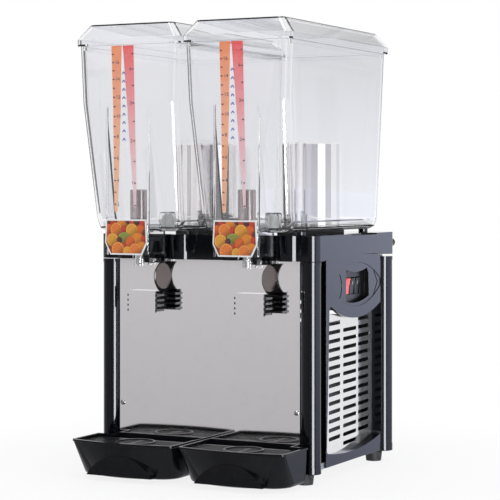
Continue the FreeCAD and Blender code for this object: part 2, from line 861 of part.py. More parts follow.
def make_lid(side, sign):
    name = "lid_" + side
    body = new_body(name, "%d * bowl_pitch / 2" % sign)
    flange = rounded("-lid_half", "lid_half", "lid_front", "lid_rear", "lid_corner")
    top = rounded("-lid_top_half", "lid_top_half", "lid_top_front", "lid_top_rear", "11")
    loft(body, [("bowl_high", flange), ("lid_edge", flange), ("lid_top", top)])
    inner_flange = rounded("-lid_half + wall", "lid_half - wall", "lid_front + wall", "lid_rear - wall",
                           "lid_corner - wall")
    inner_top = rounded("-lid_top_half + wall", "lid_top_half - wall", "lid_top_front + wall",
                        "lid_top_rear - wall", "8")
    inside = [("bowl_high + wall", inner_flange), ("lid_edge", inner_flange), ("lid_top - wall", inner_top)]
    loft(body, inside, "PartDesign::SubtractiveLoft")
    mouth = rounded("-bowl_high_half + 9", "bowl_high_half - 9", "bowl_high_front + 9",
                    "bowl_high_rear - 9", "10")
    cut(body, "XY_Plane", [mouth], "bowl_high - 1", "bowl_high + wall + 1")
    rim_outer = rounded("-bowl_high_half + 4", "bowl_high_half - 4", "bowl_high_front + 4",
                        "bowl_high_rear - 4", "13")
    rim_inner = rounded("-bowl_high_half + 6.4", "bowl_high_half - 6.4", "bowl_high_front + 6.4",
                        "bowl_high_rear - 6.4", "11")
    prism(body, "XY_Plane", [rim_outer, rim_inner], "bowl_high - 7", "bowl_high + 1")
    return finish(body, name)


def make_nozzle(side, sign):
    """Spout tube under the tap, with a slot at its back for the lever's finger."""
    name = "nozzle_" + side
    body = new_body(name, "%d * bowl_pitch / 2" % sign, "panel_y + tap_y")
    profile = [
        ("nozzle_bore", "nozzle_low"),
        ("nozzle_r", "nozzle_low"),
        ("nozzle_r", "nozzle_low + 46"),
        ("12", "nozzle_low + 46"),
        ("12", "nose_floor"),
        ("nozzle_bore", "nose_floor"),
    ]
    turn(body, "XZ_Plane", [profile], "Z_Axis")
    cut(body, "XY_Plane", [rectangle("-3.2", "3.2", "3", "10")], "nozzle_low - 1", "nozzle_low + 13")
    return finish(body, name)


def make_sleeve(side, sign):
    """Polished tube that stands in the bowl's nose and guides the tap's spool."""
    name = "tap_sleeve_" + side
    body = new_body(name, "%d * bowl_pitch / 2" % sign, "panel_y + tap_y")
    floor = "nose_floor + wall"
    profile = [
        ("sleeve_bore", floor),
        ("sleeve_r", floor),
        ("sleeve_r", "sleeve_top - 2"),
        ("arc", "sleeve_r - 0.6", "sleeve_top - 0.6"),
        ("sleeve_r - 2", "sleeve_top"),
        ("0", "sleeve_top"),
        ("0", "sleeve_top - 2.4"),
        ("sleeve_bore", "sleeve_top - 2.4"),
    ]
    turn(body, "XZ_Plane", [profile], "Z_Axis")
    cut(body, "YZ_Plane", [rectangle("-5", "5", floor + " + 3", floor + " + 14")], "-20", "20")
    return finish(body, name)


def make_spool(side, sign):
    """Hollow spool that the lever's finger pulls down."""
    name = "tap_piston_" + side
    body = new_body(name, "%d * bowl_pitch / 2" % sign, "panel_y + tap_y")
    profile = [
        ("2.4", "stem_low"),
        ("stem_r", "stem_low"),
        ("stem_r", "groove_low"),
        ("groove_r", "groove_low"),
        ("groove_r", "groove_high"),
        ("stem_r", "groove_high"),
        ("stem_r", "spool_low"),
        ("spool_r", "spool_low"),
        ("spool_r", "spool_high"),
        ("0", "spool_high"),
        ("0", "spool_low"),
        ("2.4", "spool_low"),
    ]
    turn(body, "XZ_Plane", [profile], "Z_Axis")
    cut(body, "YZ_Plane", [rectangle("-1.6", "1.6", "spool_low - 12", "spool_low - 4")], "-8", "8")
    return finish(body, name)


def make_spring(side, sign):
    """The return spring's space inside the closed sleeve."""
    name = "piston_spring_" + side
    body = new_body(name, "%d * bowl_pitch / 2" % sign, "panel_y + tap_y")
    profile = rectangle("7.4", "10.6", "nose_floor + wall + 0.5", "spool_low - 0.2")
    turn(body, "XZ_Plane", [profile], "Z_Axis")
    return finish(body, name)


def make_label(side, sign):
    name = "label_plate_" + side
    body = new_body(name, "%d * bowl_pitch / 2" % sign)
    outline = [
        ("-29.5", "nose_low + 0.2"),
        ("29.5", "nose_low + 0.2"),
        ("39.5", "384"),
        ("37.6", "421.7"),
        ("-37.6", "421.7"),
        ("-39.5", "384"),
    ]
    prism(body, "XZ_Plane", [outline], "nose_front - 1.4", "nose_front")
    return finish(body, name)


def hourglass(inset):
    """The lever's arm from the front, narrow at half height."""
    wide = "(lever_half - %s)" % inset
    middle = "(lever_step + lever_top) / 2"
    return [
        ("-" + wide, "lever_step"),
        (wide, "lever_step"),
        ("arc", "lever_waist - %s" % inset, middle),
        (wide, "lever_top"),
        ("-" + wide, "lever_top"),
        ("arc", "-lever_waist + %s" % inset, middle),
    ]


def make_lever(side, sign):
    """Black lever: ears on the pin, a finger to the spool, an arm and a finned block behind the pad."""
    name = "lever_" + side
    body = new_body(name, "%d * bowl_pitch / 2" % sign)
    back = "(lever_front + lever_sheet)"
    prism(body, "XZ_Plane", [hourglass("0.4")], back, back + " + 2.8")
    upright = rectangle("-8", "8", "lever_top - 1", "357")
    prism(body, "XZ_Plane", [upright], back, back + " + 2.8")
    cap = rectangle("-8", "8", "lever_top + 0.2", "357")
    prism(body, "XZ_Plane", [cap], "lever_front - 2", back + " + 1")
    ears = [("-30", "346"), ("pivot_y", "346.5"), ("arc", "pivot_y + 5.5", "pivot_z"), ("pivot_y", "357"),
            ("-30", "357")]
    prism(body, "YZ_Plane", [ears], "4.4", "8")
    prism(body, "YZ_Plane", [ears], "-8", "-4.4")
    cut(body, "YZ_Plane", [("circle", "pivot_y", "pivot_z", "pin_r + 0.08")], "-10", "10")
    prism(body, "XZ_Plane", [rectangle("-2.5", "2.5", "350.5", "353.5")], "-47.8", "-31")
    pad_back = "(pad_front + lever_sheet)"
    pad = rectangle("-lever_half", "lever_half", "pad_low", "lever_step")
    prism(body, "XZ_Plane", [pad], pad_back, pad_back + " + 3")
    shelf = rectangle("-8", "8", "lever_step - 4", "lever_step")
    prism(body, "XZ_Plane", [shelf], pad_back, back + " + 2.8")
    fins = rectangle("-fin_half", "fin_half", "pad_low + 2", "pad_low + 2 + fin_thick")
    first = prism(body, "XZ_Plane", [fins], pad_back, "fin_rear")
    repeat(body, first, "Z_Axis", "fin_pitch * 3", "4")
    rib = rectangle("-6", "6", "pad_low + 3", "lever_step - 2")
    prism(body, "XZ_Plane", [rib], pad_back, "fin_rear - 5")
    return finish(body, name)


def make_facing(side, sign):
    """Polished sheet on the lever: an hourglass arm that steps forward to the push pad."""
    name = "lever_facing_" + side
    body = new_body(name, "%d * bowl_pitch / 2" % sign)
    back = "lever_front + lever_sheet"
    prism(body, "XZ_Plane", [hourglass("0")], "lever_front", back)
    step = rectangle("-lever_half", "lever_half", "lever_step", "lever_step + lever_sheet")
    prism(body, "XZ_Plane", [step], "pad_front", back)
    pad = rounded("-lever_half", "lever_half", "pad_low", "lever_step + lever_sheet", "1")
    prism(body, "XZ_Plane", [pad], "pad_front", "pad_front + lever_sheet")
    return finish(body, name)


def make_lever_brackets():
    """Lugs under the deck's front that carry the lever pins."""
    lugs = []
    for side, sign in SIDES:
        body = new_body("lug", "%d * bowl_pitch / 2" % sign)
        outline = [
            ("pocket_y", "384"),
            ("pocket_y", "362"),
            ("-16", "347"),
            ("-25.5", "347"),
            ("-25.5", "359"),
            ("-12", "384"),
        ]
        prism(body, "YZ_Plane", [outline], "-3.5", "3.5")
        cut(body, "YZ_Plane", [("circle", "pivot_y", "pivot_z", "pin_r + 0.02")], "-4", "4")
        lugs.append(body)
    return group("lever_brackets", lugs)


def make_lever_pins():
    pins = []
    for side, sign in SIDES:
        pin = doc.addObject("Part::Cylinder", "pin_" + side)
        pin.setExpression("Radius", cells("pin_r"))
        pin.setExpression("Height", cells("18"))
        pin.Placement.Rotation = FreeCAD.Rotation(V(0, 1, 0), 90)
        place(pin, "%d * bowl_pitch / 2 - 9" % sign, "panel_y + pivot_y", "pivot_z")
        pins.append(pin)
    return group("lever_pins", pins)


def make_pump_housing(side, sign):
    """Cap over the impeller on the bowl's floor, with its axle."""
    name = "pump_housing_" + side
    body = new_body(name, "%d * bowl_pitch / 2 + pump_x" % sign, "panel_y + pump_y")
    floor = "(bowl_low + wall)"
    profile = [
        ("housing_r - 2.4", floor),
        ("housing_r", floor),
        ("housing_r", floor + " + housing_tall - 4"),
        ("arc", "housing_r - 1.2", floor + " + housing_tall - 1.2"),
        ("housing_r - 4", floor + " + housing_tall"),
        ("0", floor + " + housing_tall"),
        ("0", floor + " + 1.5"),
        ("axle_r", floor + " + 1.5"),
        ("axle_r", floor + " + housing_tall - 2.6"),
        ("housing_r - 2.4", floor + " + housing_tall - 2.6"),
    ]
    turn(body, "XZ_Plane", [profile], "Z_Axis")
    window = rectangle("-3", "3", floor + " + 4", floor + " + 11")
    first = cut(body, "YZ_Plane", [window], "housing_r - 4", "housing_r + 2")
    around(body, first, "Z_Axis", 6)
    return finish(body, name)


def make_impeller(side, sign):
    name = "impeller_" + side
    body = new_body(name, "%d * bowl_pitch / 2 + pump_x" % sign, "panel_y + pump_y")
    floor = "(bowl_low + wall)"
    bore = "axle_r + running_gap"
    disc = [("circle", "0", "0", "impeller_r"), ("circle", "0", "0", bore)]
    prism(body, "XY_Plane", disc, floor + " + 1", floor + " + 5")
    hub = [("circle", "0", "0", "5"), ("circle", "0", "0", bore)]
    prism(body, "XY_Plane", hub, floor + " + 4", floor + " + 20")
    blade = prism(body, "XY_Plane", [rectangle("4.4", "impeller_r - 1", "-0.8", "0.8")], floor + " + 4",
                  floor + " + 17")
    around(body, blade, "Z_Axis", 6)
    return finish(body, name)


def make_drive_magnet(side, sign):
    """Magnet disc on its motor shaft, under the deck."""
    name = "drive_magnet_" + side
    body = new_body(name, "%d * bowl_pitch / 2 + pump_x" % sign, "panel_y + pump_y")
    profile = [
        ("0", "350"),
        ("4", "350"),
        ("4", "380"),
        ("magnet_r", "380"),
        ("magnet_r", "390"),
        ("0", "390"),
    ]
    turn(body, "XZ_Plane", [profile], "Z_Axis")
    cut(body, "XY_Plane", [rectangle("-4", "4", "8", "14")], "387", "391")
    return finish(body, name)


def make_mixer_motor(side, sign):
    """Motor hung from the deck's underside by a cup round the drive magnet."""
    name = "mixer_motor_" + side
    body = new_body(name, "%d * bowl_pitch / 2 + pump_x" % sign, "panel_y + pump_y")
    profile = [
        ("0", "322"),
        ("23", "322"),
        ("23", "372"),
        ("27", "372"),
        ("27", "deck_high - wall"),
        ("24", "deck_high - wall"),
        ("24", "376"),
        ("4 + running_gap", "376"),
        ("4 + running_gap", "348"),
        ("0", "348"),
    ]
    turn(body, "XZ_Plane", [profile], "Z_Axis")
    return finish(body, name)


def tray_outline(inset, half, front, corner, bow):
    """Plan of a tray's wide front part; the front edge bows forward."""
    side = "(%s - (%s))" % (half, inset)
    face = "(%s + %s)" % (front, inset)
    radius = "(%s - (%s))" % (corner, inset)
    slant = "%s * %.9f" % (radius, 1 - DIAGONAL)
    rear = "(tray_wide_rear - (%s))" % inset
    return [
        ("-%s + %s" % (side, radius), face),
        ("arc", "0", "%s - %s" % (face, bow)),
        ("%s - %s" % (side, radius), face),
        ("arc", "%s - %s" % (side, slant), "%s + %s" % (face, slant)),
        (side, "%s + %s" % (face, radius)),
        (side, rear),
        ("-" + side, rear),
        ("-" + side, "%s + %s" % (face, radius)),
        ("arc", "-%s + %s" % (side, slant), "%s + %s" % (face, slant)),
    ]


def tray_foot(inset):
    return tray_outline(inset, "tray_foot_half", "tray_foot_front", "tray_foot_corner", "tray_foot_bow")


def tray_rim(inset):
    return tray_outline(inset, "tray_half", "tray_front", "tray_corner", "tray_bow")


def make_tray(side, sign):
    """Drip tray: a wide front part and a narrower back part that reaches the panel beside the column."""
    name = "drip_tray_" + side
    body = new_body(name, "%d * bowl_pitch / 2" % sign)
    sections = [
        ("tray_low", tray_foot("tray_edge")),
        ("tray_low + tray_edge / 3", tray_foot("tray_edge / 3")),
        ("tray_low + tray_edge", tray_foot("0")),
        ("tray_high - tray_lip_high - 1", tray_rim("tray_lip")),
        ("tray_high - tray_lip_high", tray_rim("0")),
        ("tray_high", tray_rim("0")),
    ]
    loft(body, sections)
    arch = [("-tray_arch_half", "tray_arch_low"), ("tray_arch_half", "tray_arch_low"),
            ("arc", "0", "tray_arch_top")]
    prism(body, "XZ_Plane", [arch], "tray_arch_face", "tray_foot_front")
    inner_edge = "%d * -tray_half" % sign
    outer_edge = "%d * tray_neck" % sign
    low, high = (inner_edge, outer_edge) if sign > 0 else (outer_edge, inner_edge)
    neck = rectangle(low, high, "tray_wide_rear - 1", "tray_rear")
    prism(body, "XY_Plane", [neck], "tray_low + tray_neck_rise", "tray_high")
    floor = "tray_low + tray_wall"
    ledge = "grid_low - grid_rest"
    hollow = [(floor, tray_foot("tray_wall")), (ledge, tray_rim("tray_lip + tray_wall + tray_ledge"))]
    loft(body, hollow, "PartDesign::SubtractiveLoft")
    seat = tray_outline("tray_lip + tray_wall", "tray_half", "tray_front", "grid_corner", "tray_bow")
    cut(body, "XY_Plane", [seat], ledge, "tray_high")
    neck_inside = rectangle(low + " + tray_wall", high + " - tray_wall", "tray_wide_rear - 6",
                            "tray_rear - tray_wall")
    cut(body, "XY_Plane", [neck_inside], "tray_low + tray_neck_rise + tray_wall", "tray_high")
    return finish(body, name)


def make_grid(side, sign):
    """Lift-out grid of bars with a ring where the cup stands."""
    name = "drip_grid_" + side
    body = new_body(name, "%d * bowl_pitch / 2" % sign)
    plate = tray_outline("tray_lip + tray_wall + grid_slack", "tray_half", "tray_front", "grid_corner",
                         "tray_bow")
    prism(body, "XY_Plane", [plate], "grid_low", "grid_low + grid_thick")
    slot_rear = "grid_first_slot + grid_slot"
    slots = [rectangle("-grid_slot_half", "-grid_spine", "grid_first_slot", slot_rear),
             rectangle("grid_spine", "grid_slot_half", "grid_first_slot", slot_rear)]
    first = cut(body, "XY_Plane", slots, "grid_low - 1", "grid_low + grid_thick + 1")
    repeat(body, first, "Y_Axis", "grid_pitch * (grid_rows - 1)", "grid_rows")
    ring = [("circle", "0", "ring_y", "ring_r"), ("circle", "0", "ring_y", "ring_r - ring_wide")]
    prism(body, "XY_Plane", ring, "grid_low", "grid_low + grid_thick + ring_rise")
    return finish(body, name)


def make_switch_plate():
    """Set-back panel behind the side frame's opening, with walls and the switches' cases behind it."""
    body = new_body("switch_plate")
    outline = rectangle("127", "233", "276.5", "341")
    inside = rectangle("129", "231", "278.5", "339")
    prism(body, "YZ_Plane", [outline], "switch_x - 2.5", "switch_x")
    prism(body, "YZ_Plane", [outline, inside], "switch_x - 1", "side_x - side_thick - 0.1")
    middles = ["(rocker_front_y + %d * rocker_pitch)" % n for n in range(3)]
    for middle in middles:
        case = rectangle(middle + " - 9.4", middle + " + 9.4", "rocker_z - 15.4", "rocker_z + 15.4")
        prism(body, "YZ_Plane", [case], "switch_x - 26", "switch_x - 1.5")
    for middle in middles:
        well = rectangle(middle + " - 8.5", middle + " + 8.5", "rocker_z - 14.4", "rocker_z + 14.4")
        cut(body, "YZ_Plane", [well], "switch_x - 12", "switch_x + 1")
    return finish(body, "switch_plate")


def make_rocker(name, order):
    """Rocker key, turned about its own pivot to one of its two places."""
    pivot_y = "panel_y + rocker_front_y + %d * rocker_pitch" % order
    body = new_body(name, "rocker_pivot_x", pivot_y, "rocker_z")
    half = "rocker_half_height"
    profile = [
        ("-3.5", "-" + half + " + 4"),
        ("-1", "-" + half),
        ("4.6", "-" + half),
        ("3.6", "0"),
        ("4.6", half),
        ("-1", half),
        ("-3.5", half + " - 4"),
    ]
    prism(body, "XZ_Plane", [profile], "-rocker_half_width", "rocker_half_width")
    stub = [("circle", "0", "0", "1.6")]
    prism(body, "XZ_Plane", stub, "-rocker_half_width - 0.35", "rocker_half_width + 0.35")
    body.Placement.Rotation = FreeCAD.Rotation(V(0, 1, 0), SIZES["rocker_tilt"])
    return finish(body, name)


def make_compressor():
    body = new_body("compressor", "compressor_x", "panel_y + compressor_y")
    low = "pan_low + pan_wall"
    profile = [
        ("0", low + " + 8"),
        ("compressor_r - 14", low + " + 8"),
        ("arc", "compressor_r - 4", low + " + 14"),
        ("compressor_r", low + " + 30"),
        ("compressor_r", "compressor_high - 50"),
        ("arc", "compressor_r - 9", "compressor_high - 19"),
        ("compressor_r - 30", "compressor_high - 4"),
        ("0", "compressor_high"),
    ]
    turn(body, "XZ_Plane", [profile], "Z_Axis")
    feet = rectangle("-56", "56", "-30", "30")
    prism(body, "XY_Plane", [feet], low, low + " + 10")
    return finish(body, "compressor")


def make_condenser():
    body = new_body("condenser")
    far = "condenser_x + condenser_depth"
    block = rectangle("condenser_front", "condenser_rear", "condenser_low", "condenser_high")
    prism(body, "YZ_Plane", [block], "condenser_x", far)
    gap = rectangle("condenser_front + 6", "condenser_front + 8", "condenser_low + 6",
                    "condenser_high - 6")
    first = cut(body, "YZ_Plane", [gap], "condenser_x - 1", "condenser_x + 12")
    repeat(body, first, "Y_Axis", "condenser_rear - condenser_front - 14", "31")
    stand = rectangle("condenser_x + 4", far + " - 4", "condenser_front + 20", "condenser_rear - 20")
    prism(body, "XY_Plane", [stand], "pan_low + pan_wall", "condenser_low + 1")
    return finish(body, "condenser")


def make_fan():
    """Axial fan: tilted blades round a bored hub, turning about X."""
    hub = doc.addObject("Part::Cylinder", "fan_hub")
    hub.setExpression("Radius", cells("fan_hub_r"))
    hub.setExpression("Height", cells("14"))
    hub.Placement = FreeCAD.Placement(V(-7, 0, 0), FreeCAD.Rotation(V(0, 1, 0), 90))
    blades = []
    count = 5
    for n in range(count):
        blade = doc.addObject("Part::Box", "fan_blade")
        blade.setExpression("Length", cells("2"))
        blade.setExpression("Width", cells("34"))
        blade.setExpression("Height", cells("fan_r - fan_hub_r + 4"))
        lift = FreeCAD.Placement(V(-1, -17, SIZES["fan_hub_r"] - 4), FreeCAD.Rotation())
        pitch = FreeCAD.Placement(V(0, 0, 0), FreeCAD.Rotation(V(0, 0, 1), 22))
        spin = FreeCAD.Placement(V(0, 0, 0), FreeCAD.Rotation(V(1, 0, 0), 360.0 * n / count))
        blade.Placement = spin.multiply(pitch).multiply(lift)
        blades.append(blade)
    joined = doc.addObject("Part::MultiFuse", "fan_joined")
    joined.Shapes = [hub] + blades
    bore = doc.addObject("Part::Cylinder", "fan_bore")
    bore.setExpression("Radius", cells("fan_shaft_r + running_gap"))
    bore.setExpression("Height", cells("40"))
    bore.Placement = FreeCAD.Placement(V(-20, 0, 0), FreeCAD.Rotation(V(0, 1, 0), 90))
    fan = doc.addObject("Part::Cut", "fan")
    fan.Base = joined
    fan.Tool = bore
    place(fan, "fan_x", "panel_y + fan_y", "fan_z")
    return finish(fan, "fan_blades")


def make_fan_motor():
    body = new_body("fan_motor", "0", "panel_y + fan_y", "0")
    prism(body, "YZ_Plane", [("circle", "0", "fan_z", "24")], "fan_x - 60", "fan_x - 14")
    prism(body, "YZ_Plane", [("circle", "0", "fan_z", "fan_shaft_r")], "fan_x - 15", "fan_x + 9")
    post = rectangle("-14", "14", "pan_low + pan_wall", "fan_z")
    prism(body, "YZ_Plane", [post], "fan_x - 50", "fan_x - 44")
    prism(body, "XY_Plane", [rectangle("fan_x - 56", "fan_x - 30", "-26", "26")], "pan_low + pan_wall",
          "pan_low + pan_wall + 3")
    return finish(body, "fan_motor")


def make_power_inlet():
    """Cable gland in the rear panel."""
    body = new_body("power_inlet", "-120", "panel_y + rear_panel_y", "60")
    profile = [
        ("4.2", "-8"),
        ("8", "-8"),
        ("8", "sheet_steel"),
        ("12", "sheet_steel"),
        ("12", "sheet_steel + 5"),
        ("9", "sheet_steel + 6"),
        ("8", "sheet_steel + 14"),
        ("4.2", "sheet_steel + 14"),
    ]
    turn(body, "XY_Plane", [profile], "Y_Axis")
    return finish(body, "power_inlet")


def build_all():
    make_base_pan()
    make_feet()
    for end in ("front", "rear"):
        for side, sign in SIDES:
            make_column(end, side, sign)
    make_front_panel()
    make_rear_panel()
    make_screws()
    make_deck()
    make_rear_bumpers()
    make_lever_brackets()
    make_lever_pins()
    per_side = (make_side_frame, make_side_grille, make_bowl, make_gasket, make_evaporator, make_lid,
                make_nozzle, make_sleeve, make_spool, make_spring, make_label, make_lever, make_facing,
                make_pump_housing, make_impeller, make_drive_magnet, make_mixer_motor, make_tray,
                make_grid)
    for make in per_side:
        for side, sign in SIDES:
            make(side, sign)
    make_switch_plate()
    for order, name in enumerate(("rocker_power", "rocker_mixer_left", "rocker_mixer_right")):
        make_rocker(name, order)
    make_compressor()
    make_condenser()
    make_fan()
    make_fan_motor()
    make_power_inlet()


def write_all():
    doc.recompute()
    for item in doc.Objects:
        if "Invalid" in item.State or "Error" in item.State:
            raise ValueError("%s (%s) is %s" % (item.Name, item.Label, item.State))
    for piece in NODES:
        if piece.Shape.isNull() or not piece.Shape.isValid():
            raise ValueError("%s has no valid shape" % piece.Label)
    os.makedirs("parts", exist_ok=True)
    for piece in NODES:
        piece.Shape.exportStep("parts/%s.step" % piece.Label)
    whole = FreeCAD.BoundBox()
    for piece in NODES:
        whole.add(piece.Shape.BoundBox)
    print("%d nodes, box %s" % (len(NODES), whole))


build_all()
write_all()
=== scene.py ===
# %% [markdown]
# # A countertop juice dispenser
#
# Two clear bowls stand on a black and steel cabinet. The construction comes packed, with every solid at its
# real size, so this lesson gives it its finishes, adds the thin prints on the bowls' noses, and lights it.
# Everything is in metres, and the pieces keep their places.

# %% Load the construction
import math
import bpy
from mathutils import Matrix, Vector


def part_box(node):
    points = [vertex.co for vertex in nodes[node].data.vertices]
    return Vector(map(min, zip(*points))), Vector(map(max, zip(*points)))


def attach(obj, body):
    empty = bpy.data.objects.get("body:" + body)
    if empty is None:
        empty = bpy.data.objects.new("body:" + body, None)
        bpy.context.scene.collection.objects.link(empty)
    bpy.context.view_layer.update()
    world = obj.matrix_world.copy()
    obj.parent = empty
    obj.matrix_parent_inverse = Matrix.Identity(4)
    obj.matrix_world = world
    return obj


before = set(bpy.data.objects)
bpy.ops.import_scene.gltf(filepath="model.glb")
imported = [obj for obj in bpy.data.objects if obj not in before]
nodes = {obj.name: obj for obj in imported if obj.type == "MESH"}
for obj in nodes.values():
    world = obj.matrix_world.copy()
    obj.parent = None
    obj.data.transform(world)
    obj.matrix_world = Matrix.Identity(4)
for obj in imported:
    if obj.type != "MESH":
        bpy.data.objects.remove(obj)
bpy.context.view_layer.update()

MM = 0.001
bpy.ops.object.select_all(action="DESELECT")
SIDES = (("left", -1), ("right", 1))
PANEL_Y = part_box("front_panel")[0][1]

# %% [markdown]
# ## The camera
#
# The photograph's upright edges stay upright, so its camera is level and its picture is shifted down instead of
# tilted. Its lens and place were worked out from the corners of the lids, the panel and the trays. A shift is
# part of a real view camera too, and it keeps tall products straight.

# %% Place the camera
CAMERA_AZIMUTH = math.radians(26.94)
CAMERA_PLACE = Vector((1.3957, -2.5934, 0.4738)) + Vector((0, PANEL_Y, 0))
camera_data = bpy.data.cameras.new("camera")
camera_data.lens = 129.5
camera_data.sensor_width = 36.0
camera_data.shift_y = -0.126
camera = bpy.data.objects.new("camera", camera_data)
camera.location = CAMERA_PLACE
camera.rotation_euler = (math.radians(90), 0, CAMERA_AZIMUTH)
bpy.context.scene.collection.objects.link(camera)
bpy.context.scene.camera = camera
bpy.context.scene.view_settings.view_transform = "Standard"
print("camera with a", camera_data.lens, "mm lens, shifted by", camera_data.shift_y)

# %% [markdown]
# ## Studio lamps
#
# Three big soft lamps shape the matt pieces: one from the front, one from the right and one overhead. Glossy
# and polished surfaces don't mirror them, because a mirror needs a picture of the studio and gets one below. A
# level is the brightness of the lamp's own face, and the power follows from its area.

# %% Lamps
CENTRE = Vector((0, 0, 0.36))


def softbox(name, bearing, distance, height, size, level):
    """A rectangular lamp that faces the machine; bearing is in degrees from +X."""
    data = bpy.data.lights.new(name, "AREA")
    data.shape = "RECTANGLE"
    data.size, data.size_y = size
    data.energy = level * math.pi * size[0] * size[1]
    lamp = bpy.data.objects.new(name, data)
    angle = math.radians(bearing)
    lamp.location = (distance * math.cos(angle), distance * math.sin(angle), height)
    lamp.rotation_euler = (CENTRE - lamp.location).to_track_quat("-Z", "Y").to_euler()
    lamp.visible_camera = False
    lamp.visible_glossy = False
    lamp.visible_transmission = False
    bpy.context.scene.collection.objects.link(lamp)
    return lamp


for name, *setting in (
    ("front_lamp", -104, 3.2, 1.4, (2.6, 2.0), 0.55),
    ("right_lamp", -8, 3.2, 1.3, (1.8, 2.0), 0.90),
    ("overhead_lamp", -60, 0.7, 3.0, (1.6, 1.6), 1.80),
):
    print("lamp", name, "of", round(softbox(name, *setting).data.energy, 1), "watts")


# %% [markdown]
# ## Nodes
#
# The cards, the background and every finish are made of shader nodes. A small class adds the kinds of nodes that
# come back everywhere. A number or a colour is set on its socket, and what another node puts out is linked.

# %% Node helpers
WHITE = (1.0, 1.0, 1.0)


class Graph:
    """A node tree with short ways to add nodes."""

    def __init__(self, tree):
        self.tree = tree
        tree.nodes.clear()

    def add(self, kind, *values):
        """Add a node; each value is a pair of a socket's name or number and what goes in."""
        node = self.tree.nodes.new(kind)
        self.fill(node, *values)
        return node

    def fill(self, node, *values):
        for name, value in values:
            socket = node.inputs[name]
            if isinstance(value, bpy.types.NodeSocket):
                self.link(value, socket)
            elif socket.type == "RGBA":
                socket.default_value = value + (1,)
            else:
                socket.default_value = value

    def link(self, source, target):
        self.tree.links.new(source, target)

    def place(self):
        """The point's place on its own piece, in metres."""
        return self.add("ShaderNodeTexCoord").outputs["Object"]

    def coordinates(self):
        """X, Y and Z of that place."""
        return self.add("ShaderNodeSeparateXYZ", (0, self.place())).outputs

    def arithmetic(self, operation, *values):
        """One sum on numbers or other nodes' outputs."""
        node = self.add("ShaderNodeMath")
        node.operation = operation
        self.fill(node, *enumerate(values))
        return node.outputs[0]

    def stretch(self, value, low, high, first=0.0, last=1.0):
        """Stretch the range from low to high to the range from first to last."""
        return self.add("ShaderNodeMapRange", ("Value", value), ("From Min", low), ("From Max", high),
                        ("To Min", first), ("To Max", last)).outputs["Result"]

    def noise(self, vector, scale, detail):
        """A soft random pattern from 0 to 1."""
        return self.add("ShaderNodeTexNoise", ("Vector", vector), ("Scale", scale),
                        ("Detail", detail)).outputs["Fac"]

    def mix(self, factor, first, second, blend_type="MIX"):
        """Mix two colours by a factor."""
        node = self.add("ShaderNodeMix")
        node.data_type = "RGBA"
        node.blend_type = blend_type
        self.fill(node, ("Factor", factor), ("A", first), ("B", second))
        return node.outputs["Result"]


# %% [markdown]
# ## What the mirrors see
#
# Gloss black and polished steel show only what stands round them, so a ring of upright cards is the picture
# that they mirror. Each card goes from one bearing to another, seen from the machine, and glows more at its
# head or at its foot. Only mirrored and bent rays meet the cards, and the camera never does.

# %% One card
def graph_of(owner):
    """The empty graph of a new material or world."""
    owner.use_nodes = True
    return Graph(owner.node_tree)


def shine(graph, tone, level):
    """Make a material glow."""
    glow = graph.add("ShaderNodeEmission", ("Color", tone), ("Strength", level))
    graph.add("ShaderNodeOutputMaterial", ("Surface", glow.outputs[0]))


def white_when_straight(graph, level):
    """The level, but 1 for a ray that came through two walls and was never mirrored."""
    rays = graph.add("ShaderNodeLightPath").outputs
    unmirrored = graph.arithmetic("LESS_THAN", rays["Glossy Depth"], 0.5)
    through = graph.arithmetic("GREATER_THAN", rays["Transmission Depth"], 3.5)
    straight = graph.arithmetic("MULTIPLY", unmirrored, through)
    return graph.add("ShaderNodeMix", ("Factor", straight), ("A", level), ("B", 1.0)).outputs["Result"]


def show_to_mirrors(piece, glow):
    """Give a card its glow and hide it from the camera, the matt surfaces and the shadows."""
    piece.data.materials.append(glow)
    piece.visible_camera = False
    piece.visible_diffuse = False
    piece.visible_shadow = False
    piece.select_set(False)


def card(name, first, last, low, high, foot, top, tone=WHITE, distance=4.0, plain_when_straight=False):
    """An upright card on a chord of the ring, from bearing first to last and height low to high."""
    half = math.radians(last - first) / 2
    middle = math.radians(first) + half
    reach = distance * math.cos(half)
    place = (reach * math.cos(middle), reach * math.sin(middle), (low + high) / 2)
    bpy.ops.mesh.primitive_plane_add(size=1, location=place, rotation=(math.pi / 2, 0, middle + math.pi / 2))
    piece = bpy.context.object
    piece.name = name
    piece.scale = (2 * distance * math.sin(half), high - low, 1)
    bpy.ops.object.transform_apply(location=True, rotation=True, scale=True)
    glow = bpy.data.materials.new(name)
    graph = graph_of(glow)
    level = graph.stretch(graph.coordinates()["Z"], low, high, foot, top)
    if plain_when_straight:
        level = white_when_straight(graph, level)
    shine(graph, tone, level)
    show_to_mirrors(piece, glow)
    return piece


# %% [markdown]
# ## The rings
#
# The columns, the panel and the black side mirror the lower ring, where a narrow bright card draws the sharp
# lines on the columns, and a bluish one to the right fills the machine's side. The lids and bowls mirror the
# upper ring. The drums stand inside the bowls, so what they mirror also goes through a clear wall, and they get
# cards of their own for bent rays. These are plain white to a ray that came through two walls and was never
# mirrored, so nobody sees them through a bowl. Behind the machine hangs a light grey card that only bent rays
# meet, so the clear bowls stand out softly from the white. Beside it hangs a black flag: the rounded corners of
# a clear wall bend the view sideways onto it, and that draws the bowls' dark outlines. The flag is low, so a
# view from above passes over it.

# %% Rings of cards
COOL = (0.82, 0.87, 1.12)
PALE_BLUE = (0.94, 0.98, 1.10)
# Heights of the rings, low to high
LOW_RING, HIGH_RING, BENT_RING = (-1.3, 0.33), (0.33, 2.4), (0.20, 1.15)
KEY_FOOT = -0.75
